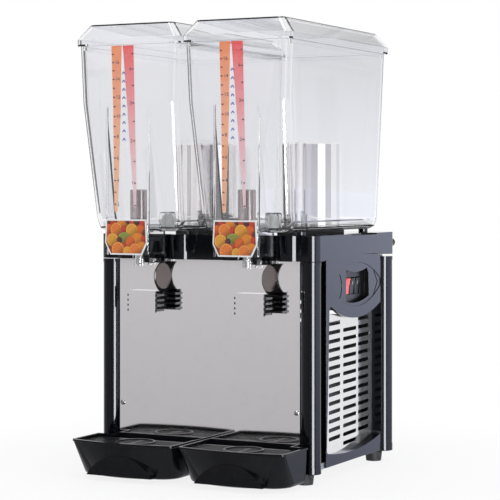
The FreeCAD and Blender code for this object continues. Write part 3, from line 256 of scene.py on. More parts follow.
# Cards: name, first and last bearing in degrees, level at the foot and at the top, tone
LOWER_CARDS = (
    ("low_left", -176, -140, 0.55, 0.60, PALE_BLUE),
    ("low_front_left", -140, -98, 0.37, 0.63, (1.0, 0.985, 1.005)),
    ("low_front", -98, -57, 0.46, 0.52, PALE_BLUE),
    ("low_dark", -57, -52, 0.03, 0.03, WHITE),
    ("low_key", -52, -28, 30.0, 30.0, (0.97, 0.99, 1.05)),
    ("low_beside_key", -28, -14, 0.7, 0.9, COOL),
    ("low_right_front", -14, 26, 1.6, 3.0, COOL),
    ("low_right", 26, 67.6, 0.3, 2.05, COOL),
)
UPPER_CARDS = (
    ("high_left", -166, -143, 0.60, 0.60, (1.0, 0.99, 1.0)),
    ("high_front_left", -132, -97, 0.98, 0.98, (1.0, 0.98, 1.0)),
    ("high_front", -97, -66, 0.60, 0.60, (1.0, 0.99, 1.05)),
    ("high_front_right", -66, -38, 0.44, 0.44, (1.0, 0.99, 1.05)),
    ("high_key", -38, -10, 1.8, 1.8, WHITE),
    ("high_beside_key", -6, 20, 0.52, 0.52, (1.0, 1.0, 1.02)),
    ("high_right", 52, 85, 0.75, 0.75, (1.0, 1.0, 1.05)),
)
SIDE_BEARINGS, SIDE_STEP, SIDE_TOP = (50, 96), 0.80, 1.40
mirrored = []
for name, first, last, foot, top, tone in LOWER_CARDS:
    low = KEY_FOOT if name == "low_key" else LOW_RING[0]
    mirrored.append(card(name, first, last, low, LOW_RING[1], foot, top, tone))
mirrored += [card(name, first, last, *HIGH_RING, foot, top, tone)
             for name, first, last, foot, top, tone in UPPER_CARDS[:-1]]
mirrored.append(card("side_fade", *SIDE_BEARINGS, HIGH_RING[0], SIDE_STEP, 1.65, 0.15, PALE_BLUE))
mirrored.append(card("side_quiet", *SIDE_BEARINGS, SIDE_STEP, SIDE_TOP, 0.15, 0.10, PALE_BLUE))
mirrored.append(card("deck_shade", -138, -96, 0.23, 0.34, 0.10, 0.10, distance=3.8))
bent = [card(name + "_bent", first, last, *BENT_RING, top, top, tone, plain_when_straight=True)
        for name, first, last, foot, top, tone in UPPER_CARDS]
bent.append(card("bowl_backdrop", 105, 128, -0.4, 2.6, 0.79, 0.79, (0.985, 0.99, 1.02), distance=5.0))
bent.append(card("dark_flag", 129, 154, 0.25, 1.10, 0.10, 0.10))
for piece in mirrored:
    piece.visible_transmission = False
for piece in bent:
    piece.visible_glossy = False
ring = mirrored + bent
print(len(ring), "cards")

# %% [markdown]
# A level card overhead gives edges and rims their thin bright lines.

# %% Overhead card
bpy.ops.mesh.primitive_plane_add(size=1.8, location=(0.6, -1.3, 2.8))
overhead_card = bpy.context.object
overhead_card.name = "overhead_card"
overhead_glow = bpy.data.materials.new("overhead_card")
shine(graph_of(overhead_glow), WHITE, 9.0)
show_to_mirrors(overhead_card, overhead_glow)
overhead_card.visible_transmission = False
ring.append(overhead_card)
print("with the overhead card", len(ring), "cards")

# %% [markdown]
# ## Background
#
# The background is plain white to the camera, in mirrors and through the clear bowls, and the world gives matt
# surfaces a soft grey light.

# %% World
def white_rays(graph):
    """1 for rays that show the background: seen, mirrored or bent."""
    rays = graph.add("ShaderNodeLightPath").outputs
    mirrored = graph.arithmetic("MAXIMUM", rays["Is Glossy Ray"], rays["Is Transmission Ray"])
    return graph.arithmetic("MAXIMUM", rays["Is Camera Ray"], mirrored)


world = bpy.data.worlds.new("studio")
bpy.context.scene.world = world
graph = graph_of(world)
shown = graph.mix(white_rays(graph), (0.62, 0.63, 0.65), WHITE)
background = graph.add("ShaderNodeBackground", ("Color", shown))
graph.add("ShaderNodeOutputWorld", ("Surface", background.outputs[0]))
print("world with", len(world.node_tree.nodes), "nodes")

# %% [markdown]
# ## Floor
#
# The floor is as white, and near the machine it keeps a part of its lit shade so that the machine's shadow
# stays on it. Mirrors look through the floor, as if the machine stood on a tall white plinth, so that the cards
# show down to the trays' feet.

# %% Floor
NEAR, FAR = 0.30, 0.75
NEAR_SHARE = 0.84
bpy.ops.mesh.primitive_plane_add(size=24, location=(0, 0, 0))
floor = bpy.context.object
floor.name = "floor"
floor_paint = bpy.data.materials.new("floor_white")
graph = graph_of(floor_paint)
distance = graph.add("ShaderNodeVectorMath", (0, graph.place()))
distance.operation = "LENGTH"
fade = graph.stretch(distance.outputs["Value"], NEAR, FAR, NEAR_SHARE, 1.0)
share = graph.arithmetic("MULTIPLY", white_rays(graph), fade)
lit = graph.add("ShaderNodeBsdfPrincipled", ("Base Color", (0.92, 0.92, 0.92)), ("Roughness", 0.6))
glow = graph.add("ShaderNodeEmission")
blend = graph.add("ShaderNodeMixShader", (0, share), (1, lit.outputs[0]), (2, glow.outputs[0]))
graph.add("ShaderNodeOutputMaterial", ("Surface", blend.outputs[0]))
floor.data.materials.append(floor_paint)
floor.visible_glossy = False
floor.select_set(False)
print("floor", [round(v, 1) for v in floor.dimensions])

# %% [markdown]
# ## Building blocks for finishes
#
# Every finish is one Principled shader whose colour, roughness and relief come from small patterns in object
# coordinates, so a pattern sticks to its piece wherever it moves. Moulded and polished surfaces share the same
# faint marks, fine scratches and dust, so these are a node group that puts out masks and a height only.

# %% Shared marks
def new_group(name, inputs, outputs):
    """A node group whose sockets are all plain numbers."""
    group = bpy.data.node_groups.new(name, "ShaderNodeTree")
    for direction, sockets in (("INPUT", inputs), ("OUTPUT", outputs)):
        for socket in sockets:
            group.interface.new_socket(name=socket, in_out=direction, socket_type="NodeSocketFloat")
    return group, Graph(group)


def make_marks_group():
    """Fine scratches, soft dust and a slow waviness; a larger Scale makes them all finer."""
    group, graph = new_group("surface_marks", ("Scale",), ("Scratches", "Dust", "Waves"))
    finer = graph.add("ShaderNodeVectorMath")
    finer.operation = "SCALE"
    graph.fill(finer, (0, graph.place()), ("Scale", graph.add("NodeGroupInput").outputs["Scale"]))
    place = finer.outputs[0]
    drawn = graph.add("ShaderNodeMapping", (0, place), ("Scale", (900, 900, 40)), ("Rotation", (0.5, 0.35, 0.2)))
    scratches = graph.stretch(graph.noise(drawn.outputs[0], 1.0, 2.0), 0.62, 0.74)
    dust = graph.stretch(graph.noise(place, 60.0, 6.0), 0.45, 0.8)
    waves = graph.noise(place, 7.0, 1.0)
    graph.add("NodeGroupOutput", ("Scratches", scratches), ("Dust", dust), ("Waves", waves))
    return group


MARKS = make_marks_group()
print("marks group with", len(MARKS.nodes), "nodes")

# %% [markdown]
# A finish starts from plain values on the shader's own sockets. A pattern then varies one of them, tints the
# colour or raises a relief. A mould leaves no knife edge, so a relief may also round the edges that catch light.

# %% A finish
class Finish(Graph):
    """A material with one Principled shader and short ways to feed it."""

    def __init__(self, name, colour, roughness, metallic=0.0, marks_scale=1.0):
        self.material = bpy.data.materials.new(name)
        self.material.use_nodes = True
        super().__init__(self.material.node_tree)
        self.shader = self.add("ShaderNodeBsdfPrincipled")
        self.shader.inputs["Base Color"].default_value = colour + (1,)
        self.shader.inputs["Roughness"].default_value = roughness
        self.shader.inputs["Metallic"].default_value = metallic
        self.add("ShaderNodeOutputMaterial", ("Surface", self.shader.outputs[0]))
        marks = self.add("ShaderNodeGroup")
        marks.node_tree = MARKS
        marks.inputs["Scale"].default_value = marks_scale
        self.marks = marks.outputs

    def vary(self, socket, source, low, high):
        """Let a 0 to 1 pattern move a value of the shader between low and high."""
        self.link(self.stretch(source, 0.0, 1.0, low, high), self.shader.inputs[socket])

    def relief(self, source, strength, depth, soft_edge=0.0):
        """Feed a pattern to the shader's normal, over edges rounded by soft_edge."""
        bump = self.add("ShaderNodeBump", ("Strength", strength), ("Distance", depth), ("Height", source))
        if soft_edge:
            bevel = self.add("ShaderNodeBevel", ("Radius", soft_edge))
            bevel.samples = 4
            self.link(bevel.outputs["Normal"], bump.inputs["Normal"])
        self.link(bump.outputs["Normal"], self.shader.inputs["Normal"])

    def tint(self, source, first, second):
        """Mix two colours by a pattern and feed them to the shader's colour."""
        colour = self.mix(source, first, second)
        self.link(colour, self.shader.inputs["Base Color"])
        return colour


def paint(finish, *names):
    """Give construction nodes or pieces a finish."""
    for name in names:
        piece = nodes.get(name) or bpy.data.objects[name]
        piece.data.materials.clear()
        piece.data.materials.append(finish.material)


def both(name):
    return [name + "_left", name + "_right"]


# %% [markdown]
# ## Glossy black plastic
#
# The columns, deck and side frames are gloss black mouldings. A gloss moulding is nearly a mirror, with a very
# slow waviness where the plastic shrank and a few hair scratches, so roughness changes a little and the relief
# is only hundredths of a millimetre deep. Black plastic mirrors little, about two parts in a hundred face on.
# The trays are wiped every day, so they are duller and greyer.

# %% Gloss black
DEEP, DEEP_DUSTY = (0.0018, 0.0023, 0.0042), (0.0042, 0.0048, 0.0070)


def gloss_black(name, roughness, soft_edge, mirror=0.26, clean=DEEP, dusty=DEEP_DUSTY):
    finish = Finish(name, clean, roughness)
    finish.shader.inputs["Specular IOR Level"].default_value = mirror
    finish.tint(finish.marks["Dust"], clean, dusty)
    finish.vary("Roughness", finish.marks["Scratches"], roughness, roughness + 0.06)
    finish.relief(finish.marks["Waves"], 0.08, 0.0003, soft_edge)
    return finish


GLOSS_BLACK = gloss_black("gloss_black", 0.045, 0.0008)
COLUMN_BLACK = gloss_black("column_black", 0.08, 0.0)
TRAY_BLACK = gloss_black("tray_black", 0.22, 0.0007, 0.14, (0.0056, 0.0060, 0.0078), (0.0085, 0.0090, 0.0110))
paint(GLOSS_BLACK, "deck", *both("side_frame"))
paint(COLUMN_BLACK, *both("column_front"), *both("column_rear"))
paint(TRAY_BLACK, *both("drip_tray"))
print("gloss black on the deck and side frames; softer ones on the columns and trays")

# %% [markdown]
# ## Satin black
#
# The grids, brackets, bumpers and fan are moulded with a spark-eroded grain: fine, even and matt. A small noise
# gives the grain and the highlights stay soft.

# %% Satin black
SOFT_BLACK = (0.008, 0.008, 0.009)
SATIN_BLACK = Finish("satin_black", SOFT_BLACK, 0.38)
SATIN_BLACK.shader.inputs["Specular IOR Level"].default_value = 0.3
SATIN_BLACK.tint(SATIN_BLACK.marks["Waves"], (0.007, 0.007, 0.0085), (0.012, 0.012, 0.013))
SATIN_BLACK.vary("Roughness", SATIN_BLACK.marks["Dust"], 0.3, 0.46)
SATIN_BLACK.relief(SATIN_BLACK.noise(SATIN_BLACK.place(), 1400, 2), 0.3, 0.0001, 0.0005)
paint(SATIN_BLACK, "lever_brackets", "switch_plate", "rear_bumpers", "power_inlet", "fan_blades",
      *both("drip_grid"))
print("satin black on the grids, switch plate, bumpers and brackets")

# %% [markdown]
# The panel mirrors the levers' backs. The lighter middle of each satin black back is painted as a brown-grey,
# metallic oval: a painted sheen. Its place is measured on the lever itself: it lies on the rearmost face, at the
# middle of the waist.

# %% Lever backs
LEVER_BACK = Finish("lever_black", SOFT_BLACK, 0.38)
LEVER_BACK.shader.inputs["Specular IOR Level"].default_value = 0.3
WAIST_Z = (0.310, 0.343)
OVAL_Z, OVAL_HALF_HEIGHT, OVAL_SHARE = 0.3250, 0.0215, 1.04
FACE_DEPTH = 0.0003
waist = [v.co for v in nodes["lever_left"].data.vertices if WAIST_Z[0] < v.co.z < WAIST_Z[1]]
back_y = max(co.y for co in waist)
back = [co for co in waist if co.y > back_y - FACE_DEPTH]
oval_x = abs(min(co.x for co in back) + max(co.x for co in back)) / 2
narrow = min(abs(abs(co.x) - oval_x) for co in back)
x, y, z = LEVER_BACK.coordinates()
across = LEVER_BACK.arithmetic("SUBTRACT", LEVER_BACK.arithmetic("ABSOLUTE", x), oval_x)
across = LEVER_BACK.arithmetic("DIVIDE", across, narrow * OVAL_SHARE)
up = LEVER_BACK.arithmetic("DIVIDE", LEVER_BACK.arithmetic("SUBTRACT", z, OVAL_Z), OVAL_HALF_HEIGHT)
squares = [LEVER_BACK.arithmetic("MULTIPLY", way, way) for way in (across, up)]
sheen_oval = LEVER_BACK.arithmetic("LESS_THAN", LEVER_BACK.arithmetic("ADD", *squares), 1.0)
rearmost = LEVER_BACK.arithmetic("COMPARE", y, back_y, FACE_DEPTH)
# plate is the painted sheen: the lit middle of the satin back, tinted brown-grey, metallic and smoother
plate = LEVER_BACK.arithmetic("MULTIPLY", sheen_oval, rearmost)
LEVER_BACK.tint(plate, SOFT_BLACK, (0.38, 0.345, 0.33))
LEVER_BACK.link(plate, LEVER_BACK.shader.inputs["Metallic"])
LEVER_BACK.vary("Roughness", plate, 0.38, 0.12)
LEVER_BACK.relief(LEVER_BACK.marks["Waves"], 0.1, 0.0002)
paint(LEVER_BACK, *both("lever"))
print("lever back at", round(back_y / MM, 1), "mm, its waist", round(2 * narrow / MM, 1), "mm wide")

# %% [markdown]
# ## Polished and brushed steel
#
# The front panel, grilles and lever facings are bright annealed sheet: almost a mirror, softened by a faint
# rolling direction. The drums and sleeves are polished tube. Brushed sheet is the same metal with stronger
# lines.

# %% Steel
DUSTY_SHARE = 0.975
ROLLING_DEPTH = 0.00005


def steel(name, colour, roughness, lines_scale, lines_strength, soft_edge=0.0, metallic=1.0):
    finish = Finish(name, colour, roughness, metallic)
    drawn = finish.add("ShaderNodeMapping", (0, finish.place()), ("Scale", lines_scale))
    rolling = finish.noise(drawn.outputs[0], 1.0, 4.0)
    finish.vary("Roughness", rolling, roughness * 0.7, roughness * 1.3)
    finish.relief(rolling, lines_strength, ROLLING_DEPTH, soft_edge)
    finish.tint(finish.marks["Dust"], colour, tuple(DUSTY_SHARE * part for part in colour))
    return finish


PANEL_STEEL = steel("panel_steel", (0.88, 0.865, 0.87), 0.06, (12, 12, 900), 0.05)
GRILLE_STEEL = steel("grille_steel", (0.78, 0.78, 0.80), 0.07, (12, 12, 900), 0.05, 0.0003, metallic=0.8)
DRUM_STEEL = steel("drum_steel", (0.82, 0.81, 0.81), 0.06, (8, 8, 1200), 0.06, 0.0005)
SLEEVE_STEEL = steel("sleeve_steel", (0.40, 0.355, 0.36), 0.06, (8, 8, 1200), 0.06, 0.0004)
BRUSHED_STEEL = steel("brushed_steel", (0.34, 0.34, 0.35), 0.30, (600, 8, 8), 0.35)
paint(PANEL_STEEL, "front_panel", *both("lever_facing"))
paint(GRILLE_STEEL, *both("side_grille"))
paint(DRUM_STEEL, *both("evaporator"))
paint(SLEEVE_STEEL, *both("tap_sleeve"))
paint(BRUSHED_STEEL, "rear_panel", "panel_screws", "lever_pins", "base_pan", *both("piston_spring"))
print("mirror sheet on the panel, grilles and facings; polished tube on the drums and sleeves")

# %% [markdown]
# ## Clear plastic
#
# The bowls, lids, nozzles and pump caps are clear polycarbonate. Light goes through them, so the shader
# transmits. Real daylight also passes a clear wall without a hard shadow, which a render can't afford to trace,
# so shadow rays find the wall mostly open. A faint cool tint and slow waviness of the moulded wall bend the
# view a little. Where a wall turns away from the eye, its colour is painted darker: a painted shade standing in
# for the dark surroundings that the wall bends and mirrors there.

# %% Clear plastic
EDGE_SPAN = 0.16


def clear_plastic(name, colour, edge, roughness, ior, mirror=0.5, edge_from=0.64):
    finish = Finish(name, colour, roughness)
    finish.shader.inputs["Transmission Weight"].default_value = 1.0
    finish.shader.inputs["IOR"].default_value = ior
    finish.shader.inputs["Specular IOR Level"].default_value = mirror
    finish.relief(finish.marks["Waves"], 0.12, 0.0006)
    turned = finish.add("ShaderNodeLayerWeight", ("Blend", 0.5))
    # Painted shade: the colour turns to the dark edge colour where the wall turns away from the eye
    finish.tint(finish.stretch(turned.outputs["Facing"], edge_from, edge_from + EDGE_SPAN), colour, edge)
    rays = finish.add("ShaderNodeLightPath")
    finish.vary("Alpha", rays.outputs["Is Shadow Ray"], 1.0, 0.12)
    return finish


BOWL_CLEAR = clear_plastic("bowl_clear", (0.985, 0.985, 0.99), (0.10, 0.11, 0.13), 0.012, 1.38, mirror=0.1)
LID_CLEAR = clear_plastic("lid_clear", (0.98, 0.982, 0.995), (0.22, 0.23, 0.26), 0.02, 1.40,
                          mirror=0.25, edge_from=0.84)
NOZZLE_CLEAR = clear_plastic("nozzle_clear", (0.78, 0.77, 0.77), (0.12, 0.12, 0.13), 0.04, 1.45)
PUMP_CLEAR = clear_plastic("pump_clear", (0.95, 0.955, 0.97), (0.55, 0.56, 0.60), 0.06, 1.40)
paint(BOWL_CLEAR, *both("bowl"))
paint(LID_CLEAR, *both("lid"))
paint(NOZZLE_CLEAR, *both("nozzle"))
paint(PUMP_CLEAR, *both("pump_housing"))
print("clear plastic on the bowls, lids, nozzles and pump caps")

# %% [markdown]
# ## Small parts
#
# White acetal for the spools and impellers, rubber for the feet and seals, and paint and aluminium inside the
# cabinet. The aluminium fins are made near black as a painted shade, so the grille's slots look as dark as the
# unlit inside of a cabinet.

# %% Small parts' finishes
ACETAL = (0.80, 0.80, 0.78)
WHITE_PLASTIC = Finish("white_acetal", ACETAL, 0.35)
WHITE_PLASTIC.tint(WHITE_PLASTIC.marks["Dust"], ACETAL, (0.70, 0.69, 0.66))
WHITE_PLASTIC.shader.inputs["Subsurface Weight"].default_value = 0.1
WHITE_PLASTIC.relief(WHITE_PLASTIC.marks["Scratches"], 0.1, 0.00005, 0.0004)
paint(WHITE_PLASTIC, *both("tap_piston"), *both("impeller"))

RUBBER = Finish("black_rubber", (0.018, 0.018, 0.018), 0.75)
RUBBER.vary("Roughness", RUBBER.marks["Dust"], 0.62, 0.85)
RUBBER.relief(RUBBER.marks["Dust"], 0.3, 0.0002)
paint(RUBBER, "feet", *both("bowl_gasket"))

MOTOR_PAINT = Finish("motor_paint", (0.05, 0.05, 0.055), 0.45, metallic=0.3)
MOTOR_PAINT.vary("Roughness", MOTOR_PAINT.marks["Dust"], 0.35, 0.6)
MOTOR_PAINT.relief(MOTOR_PAINT.marks["Dust"], 0.2, 0.0001, 0.0006)
paint(MOTOR_PAINT, *both("mixer_motor"), *both("drive_magnet"), "fan_motor", "compressor")

# Painted shade: the fins are near black so that the slots in the grille read dark
FIN_METAL = Finish("fin_metal", (0.05, 0.05, 0.055), 0.5, metallic=0.6)
FIN_METAL.vary("Roughness", FIN_METAL.marks["Dust"], 0.3, 0.5)
FIN_METAL.relief(FIN_METAL.marks["Waves"], 0.2, 0.0004)
paint(FIN_METAL, "condenser")
print("acetal, rubber, motor paint and fin metal on the small parts")

# %% [markdown]
# ## Switches
#
# The mains switch has a red lens that glows. The two mixer switches are black keys, each with a short white
# mark on its upper half; the mark is a small box in object coordinates, since both keys stand at known places.

# %% Switches' finishes
RED_LENS = Finish("red_lens", (0.62, 0.04, 0.05), 0.18)
RED_LENS.tint(RED_LENS.marks["Waves"], (0.70, 0.05, 0.06), (0.50, 0.02, 0.03))
RED_LENS.shader.inputs["Emission Color"].default_value = (1.0, 0.16, 0.15, 1)
RED_LENS.shader.inputs["Emission Strength"].default_value = 0.45
RED_LENS.relief(RED_LENS.marks["Waves"], 0.1, 0.0003, 0.0005)
paint(RED_LENS, "rocker_power")

KEY_BLACK = Finish("key_black", SOFT_BLACK, 0.3)
KEY_BLACK.shader.inputs["Specular IOR Level"].default_value = 0.35
keys = [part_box("rocker_mixer_" + side) for side, sign in SIDES]
key_centres = [(low[1] + high[1]) / 2 for low, high in keys]
MARK_DROP, MARK_HALF_WIDE, MARK_HALF_TALL = 0.0085, 0.0009, 0.0030
_, y, z = KEY_BLACK.coordinates()
columns = [KEY_BLACK.arithmetic("COMPARE", y, centre, MARK_HALF_WIDE) for centre in key_centres]
band = KEY_BLACK.arithmetic("COMPARE", z, keys[0][1][2] - MARK_DROP, MARK_HALF_TALL)
mark = KEY_BLACK.arithmetic("MULTIPLY", KEY_BLACK.arithmetic("MAXIMUM", *columns), band)
KEY_BLACK.tint(mark, SOFT_BLACK, (0.75, 0.76, 0.78))
KEY_BLACK.relief(KEY_BLACK.marks["Waves"], 0.1, 0.0002, 0.0006)
paint(KEY_BLACK, *both("rocker_mixer"))
print("marks at", [round(centre, 4) for centre in key_centres])

# %% [markdown]
# The label plate behind the fruit picture is plain white plastic, and its edge shows as the picture's border.

# %% Label plate
PLATE_WHITE = (0.90, 0.90, 0.89)
WHITE_PLATE = Finish("label_white", PLATE_WHITE, 0.25)
WHITE_PLATE.tint(WHITE_PLATE.marks["Dust"], PLATE_WHITE, (0.84, 0.84, 0.82))
WHITE_PLATE.relief(WHITE_PLATE.marks["Waves"], 0.1, 0.0002, 0.0004)
paint(WHITE_PLATE, *both("label_plate"))
print("white on the label plates")

# %% [markdown]
# ## Sheets in front of the nose
#
# The level scale and the fruit picture are thin prints. A print's outline is a strip of a few rows: the lowest
# edge is added as a thin plane, and each further row is an extruded edge that is moved and widened, just as a
# strip is drawn by hand. Ticks are short strips, and numbers are text made into a mesh.

# %% Strips
NOSE_DEPTH = 0.0930
LEAN_DEPTH, LEAN_OUT = 0.0936, 0.0014
SLOPE_Z = 0.610
RIM_Z = 0.704
BLEND = 0.006
PRINT_GAP = 0.0002


def nose_y(z):
    """The bowl's front face at a height: upright on the nose, leaning out a little above it."""
    if z < SLOPE_Z - BLEND:
        return PANEL_Y - NOSE_DEPTH - PRINT_GAP
    lean = (z - SLOPE_Z) / (RIM_Z - SLOPE_Z)
    return PANEL_Y - LEAN_DEPTH - LEAN_OUT * max(lean, 0) - PRINT_GAP


def strip(name, rows, offset=0.0):
    """A sheet from its lowest row up; a row is (z, left x, right x)."""
    z, left, right = rows[0]
    bpy.ops.mesh.primitive_plane_add(size=1, location=((left + right) / 2, nose_y(z) - offset, z))
    piece = bpy.context.object
    piece.name = name
    bpy.ops.object.mode_set(mode="EDIT")
    bpy.ops.mesh.select_all(action="SELECT")
    bpy.ops.mesh.delete(type="ONLY_FACE")
    bpy.ops.object.mode_set(mode="OBJECT")
    bpy.ops.object.transform_apply(location=True, rotation=True, scale=True)
    for vertex in piece.data.vertices:
        vertex.select = vertex.co.y > nose_y(z) - offset
    bpy.ops.object.mode_set(mode="EDIT")
    bpy.ops.mesh.delete(type="VERT")
    bpy.ops.mesh.select_all(action="SELECT")
    bpy.ops.transform.translate(value=(0, 0.5, 0))
    bpy.ops.transform.resize(value=(right - left, 1, 1), center_override=((left + right) / 2, 0, z))
    width, centre, height = right - left, (left + right) / 2, z
    for z, left, right in rows[1:]:
        middle = (left + right) / 2
        step = (middle - centre, nose_y(z) - nose_y(height), z - height)
        bpy.ops.mesh.extrude_region_move(TRANSFORM_OT_translate={"value": step})
        bpy.ops.transform.resize(value=((right - left) / width, 1, 1), center_override=(middle, 0, z))
        width, centre, height = right - left, middle, z
    bpy.ops.mesh.select_all(action="SELECT")
    bpy.ops.mesh.normals_make_consistent(inside=False)
    bpy.ops.object.mode_set(mode="OBJECT")
    if piece.data.polygons[0].normal.y > 0:
        piece.data.flip_normals()
    piece.select_set(False)
    return piece


def lay_print(piece, finish, body):
    piece.data.materials.append(finish.material)
    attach(piece, body)
    return piece


def join(name, pieces):
    """Make one piece of several."""
    bpy.ops.object.select_all(action="DESELECT")
    for piece in pieces:
        piece.select_set(True)
    bpy.context.view_layer.objects.active = pieces[0]
    bpy.ops.object.join()
    pieces[0].name = name
    pieces[0].select_set(False)
    return pieces[0]


print("nose face at", round(nose_y(0.5) / MM, 1), "mm, rim at", round(nose_y(RIM_Z) / MM, 1), "mm")

# %% [markdown]
# ## The level scale
#
# Two coloured wedges run down the nose: litres on the orange one and US gallons on the red one. The bowl widens
# upwards, so a litre is taller at the bottom than at the top, and one short formula gives each tick's height.
# The colour is paler towards the bottom of each wedge.

# %% Print inks
def ink(name, top, bottom, low_z=0.43, high_z=0.70, alpha=0.88):
    finish = Finish(name, top, 0.35)
    finish.tint(finish.stretch(finish.coordinates()["Z"], low_z, high_z), bottom, top)
    finish.vary("Alpha", finish.marks["Dust"], alpha, alpha - 0.06)
    return finish


ORANGE_INK = ink("orange_ink", (0.92, 0.235, 0.05), (0.92, 0.52, 0.33))
RED_INK = ink("red_ink", (0.88, 0.035, 0.035), (0.86, 0.62, 0.66), low_z=0.47)
BLUE_INK = ink("blue_ink", (0.07, 0.09, 0.42), (0.08, 0.10, 0.44), alpha=0.94)
PALE_INK = ink("pale_ink", (0.92, 0.93, 0.96), (0.90, 0.90, 0.93))
DARK_INK = ink("dark_ink", (0.06, 0.012, 0.05), (0.06, 0.015, 0.06), alpha=0.97)
LITRES_PER_GALLON = 3.785
# The tick of two litres, the mean step up to nine litres, and how fast the steps shrink, in millimetres
TWO_LITRES, LITRE_STEP, STEP_SHRINK = 445.8, 18.03, 0.232


def litre_height(litres):
    """Height of a litre tick over the floor."""
    more = litres - 2
    return MM * (TWO_LITRES + LITRE_STEP * more - STEP_SHRINK * more * (litres - 9))


print("litres 2 and 16 at", [round(litre_height(litres), 3) for litres in (2, 16)])

# %% [markdown]
# Each wedge is one strip of rows from its foot to the rim. The ticks and numbers lie just in front of the
# wedges, and those of one bowl are joined into a single print.

# %% Wedges, ticks and numbers
def edge_at(rows, z, side):
    """Where a wedge's edge is at a height."""
    for (z0, *low), (z1, *high) in zip(rows, rows[1:]):
        if z0 <= z <= z1:
            return low[side] + (high[side] - low[side]) * (z - z0) / (z1 - z0)
    return rows[-1][1 + side]


DIGIT_SHARE = 0.7


def number_mesh(text, x, z, height, right_aligned=False):
    """A number drawn flat in front of the nose."""
    bpy.ops.object.text_add(location=(0, 0, 0))
    piece = bpy.context.object
    piece.data.body = text
    piece.data.size = height / DIGIT_SHARE
    piece.data.align_x = "RIGHT" if right_aligned else "LEFT"
    piece.data.align_y = "CENTER"
    piece.data.resolution_u = 3
    bpy.ops.object.convert(target="MESH")
    piece = bpy.context.object
    piece.rotation_euler = (math.radians(90), 0, 0)
    piece.location = (x, nose_y(z) - PRINT_GAP, z)
    bpy.ops.object.transform_apply(location=True, rotation=True, scale=True)
    piece.select_set(False)
    return piece


BOWL_X = 0.099
# Height, left and right edge from the bowl's middle, in millimetres
ORANGE_ROWS = ((433, -22.0, -17.0), (441, -23.1, -15.6), (587, -24.7, -11.0), (603, -24.9, -10.4),
               (611, -25, -10.2), (702.5, -27.1, -7.7))
RED_ROWS = ((441, 13.8, 18.8), (472, 12.2, 18.6), (587, 2.7, 16.3), (603, 1.8, 16.0), (611, 1.2, 15.9),
            (702.5, -5.7, 14.5))
PALE_HEIGHTS = (0.545, 0.587, 0.603, 0.611, 0.6925)
TICK_HALF_HEIGHT, NUMBER_HEIGHT = 0.0009, 0.0056
# How far a tick starts inside its wedge, its length, and how far its number stands from its start
LITRE_INSET, LITRE_TICK, LITRE_NUMBER = 0.0008, 0.0036, 0.0054
GALLON_INSET, GALLON_TICK, GALLON_NUMBER = 0.0006, 0.0034, 0.0045


def tick(z, left, right):
    return strip("tick", [(z - TICK_HALF_HEIGHT, left, right), (z + TICK_HALF_HEIGHT, left, right)], PRINT_GAP)


def make_scale(side, sign):
    centre = sign * BOWL_X
    orange, red = [[(z * MM, centre + left * MM, centre + right * MM) for z, left, right in rows]
                   for rows in (ORANGE_ROWS, RED_ROWS)]
    pale = [(z, edge_at(orange, z, 1), edge_at(red, z, 0)) for z in PALE_HEIGHTS]
    for name, rows, finish in (("orange", orange, ORANGE_INK), ("red", red, RED_INK), ("pale", pale, PALE_INK)):
        lay_print(strip("scale_%s_%s" % (name, side), rows), finish, "bowl_%s_set" % side)
    marks = []
    for litres in range(2, 18):
        z = litre_height(litres)
        x = edge_at(orange, z, 0) + LITRE_INSET
        marks.append(tick(z, x, x + LITRE_TICK))
        if litres % 2 == 0:
            marks.append(number_mesh(str(litres), x + LITRE_NUMBER, z, NUMBER_HEIGHT))
    for halves in range(1, 10):
        z = litre_height(LITRES_PER_GALLON * halves / 2)
        x = edge_at(red, z, 1) - GALLON_INSET
        marks.append(tick(z, x - GALLON_TICK, x))
        if halves % 2 == 0:
            marks.append(number_mesh(str(halves // 2), x - GALLON_NUMBER, z, NUMBER_HEIGHT, right_aligned=True))
    lay_print(join("scale_marks_" + side, marks), DARK_INK, "bowl_%s_set" % side)
    return len(marks)


for side, sign in SIDES:
    print("scale", side, make_scale(side, sign), "marks")


# %% [markdown]
# Between the wedges a column of small blue chevrons points up to the full mark. One chevron is two slanted
# bars, and each of the others stands at its own height of the leaning wall.

# %% Chevrons
LOWEST_CHEVRON, CHEVRON_PITCH, CHEVRON_SHIFT = 0.5490, 0.0134, -0.0042
CHEVRON_ROWS = [LOWEST_CHEVRON + CHEVRON_PITCH * row for row in range(9)]


def make_chevron(x, z, half=0.0036, rise=0.0042, bar=0.0019):
    """Two bars that meet at the top."""
    tip = (z + rise, x - bar / 2, x + bar / 2)
    left = strip("bar", [(z, x - half, x - half + bar), tip], PRINT_GAP)
    right = strip("bar", [(z, x + half - bar, x + half), tip], 2 * PRINT_GAP)
    return join("chevron", [left, right])


for side, sign in SIDES:
    column = [make_chevron(sign * BOWL_X + CHEVRON_SHIFT, z) for z in CHEVRON_ROWS]
    lay_print(join("chevrons_" + side, column), BLUE_INK, "bowl_%s_set" % side)
    print("chevrons", side, len(CHEVRON_ROWS))


# %% [markdown]
# ## The fruit print
#
# Each nose carries a white plate with a colourful fruit picture. A picture of nobody's own is laid out from a
# short list: each fruit has a kind, a place on the plate and a size in millimetres, and a turn. Every fruit is
# drawn by the same node group, which gives a disc, its peel and pith and the lines between its segments, and
# the finish lays one fruit over the next.

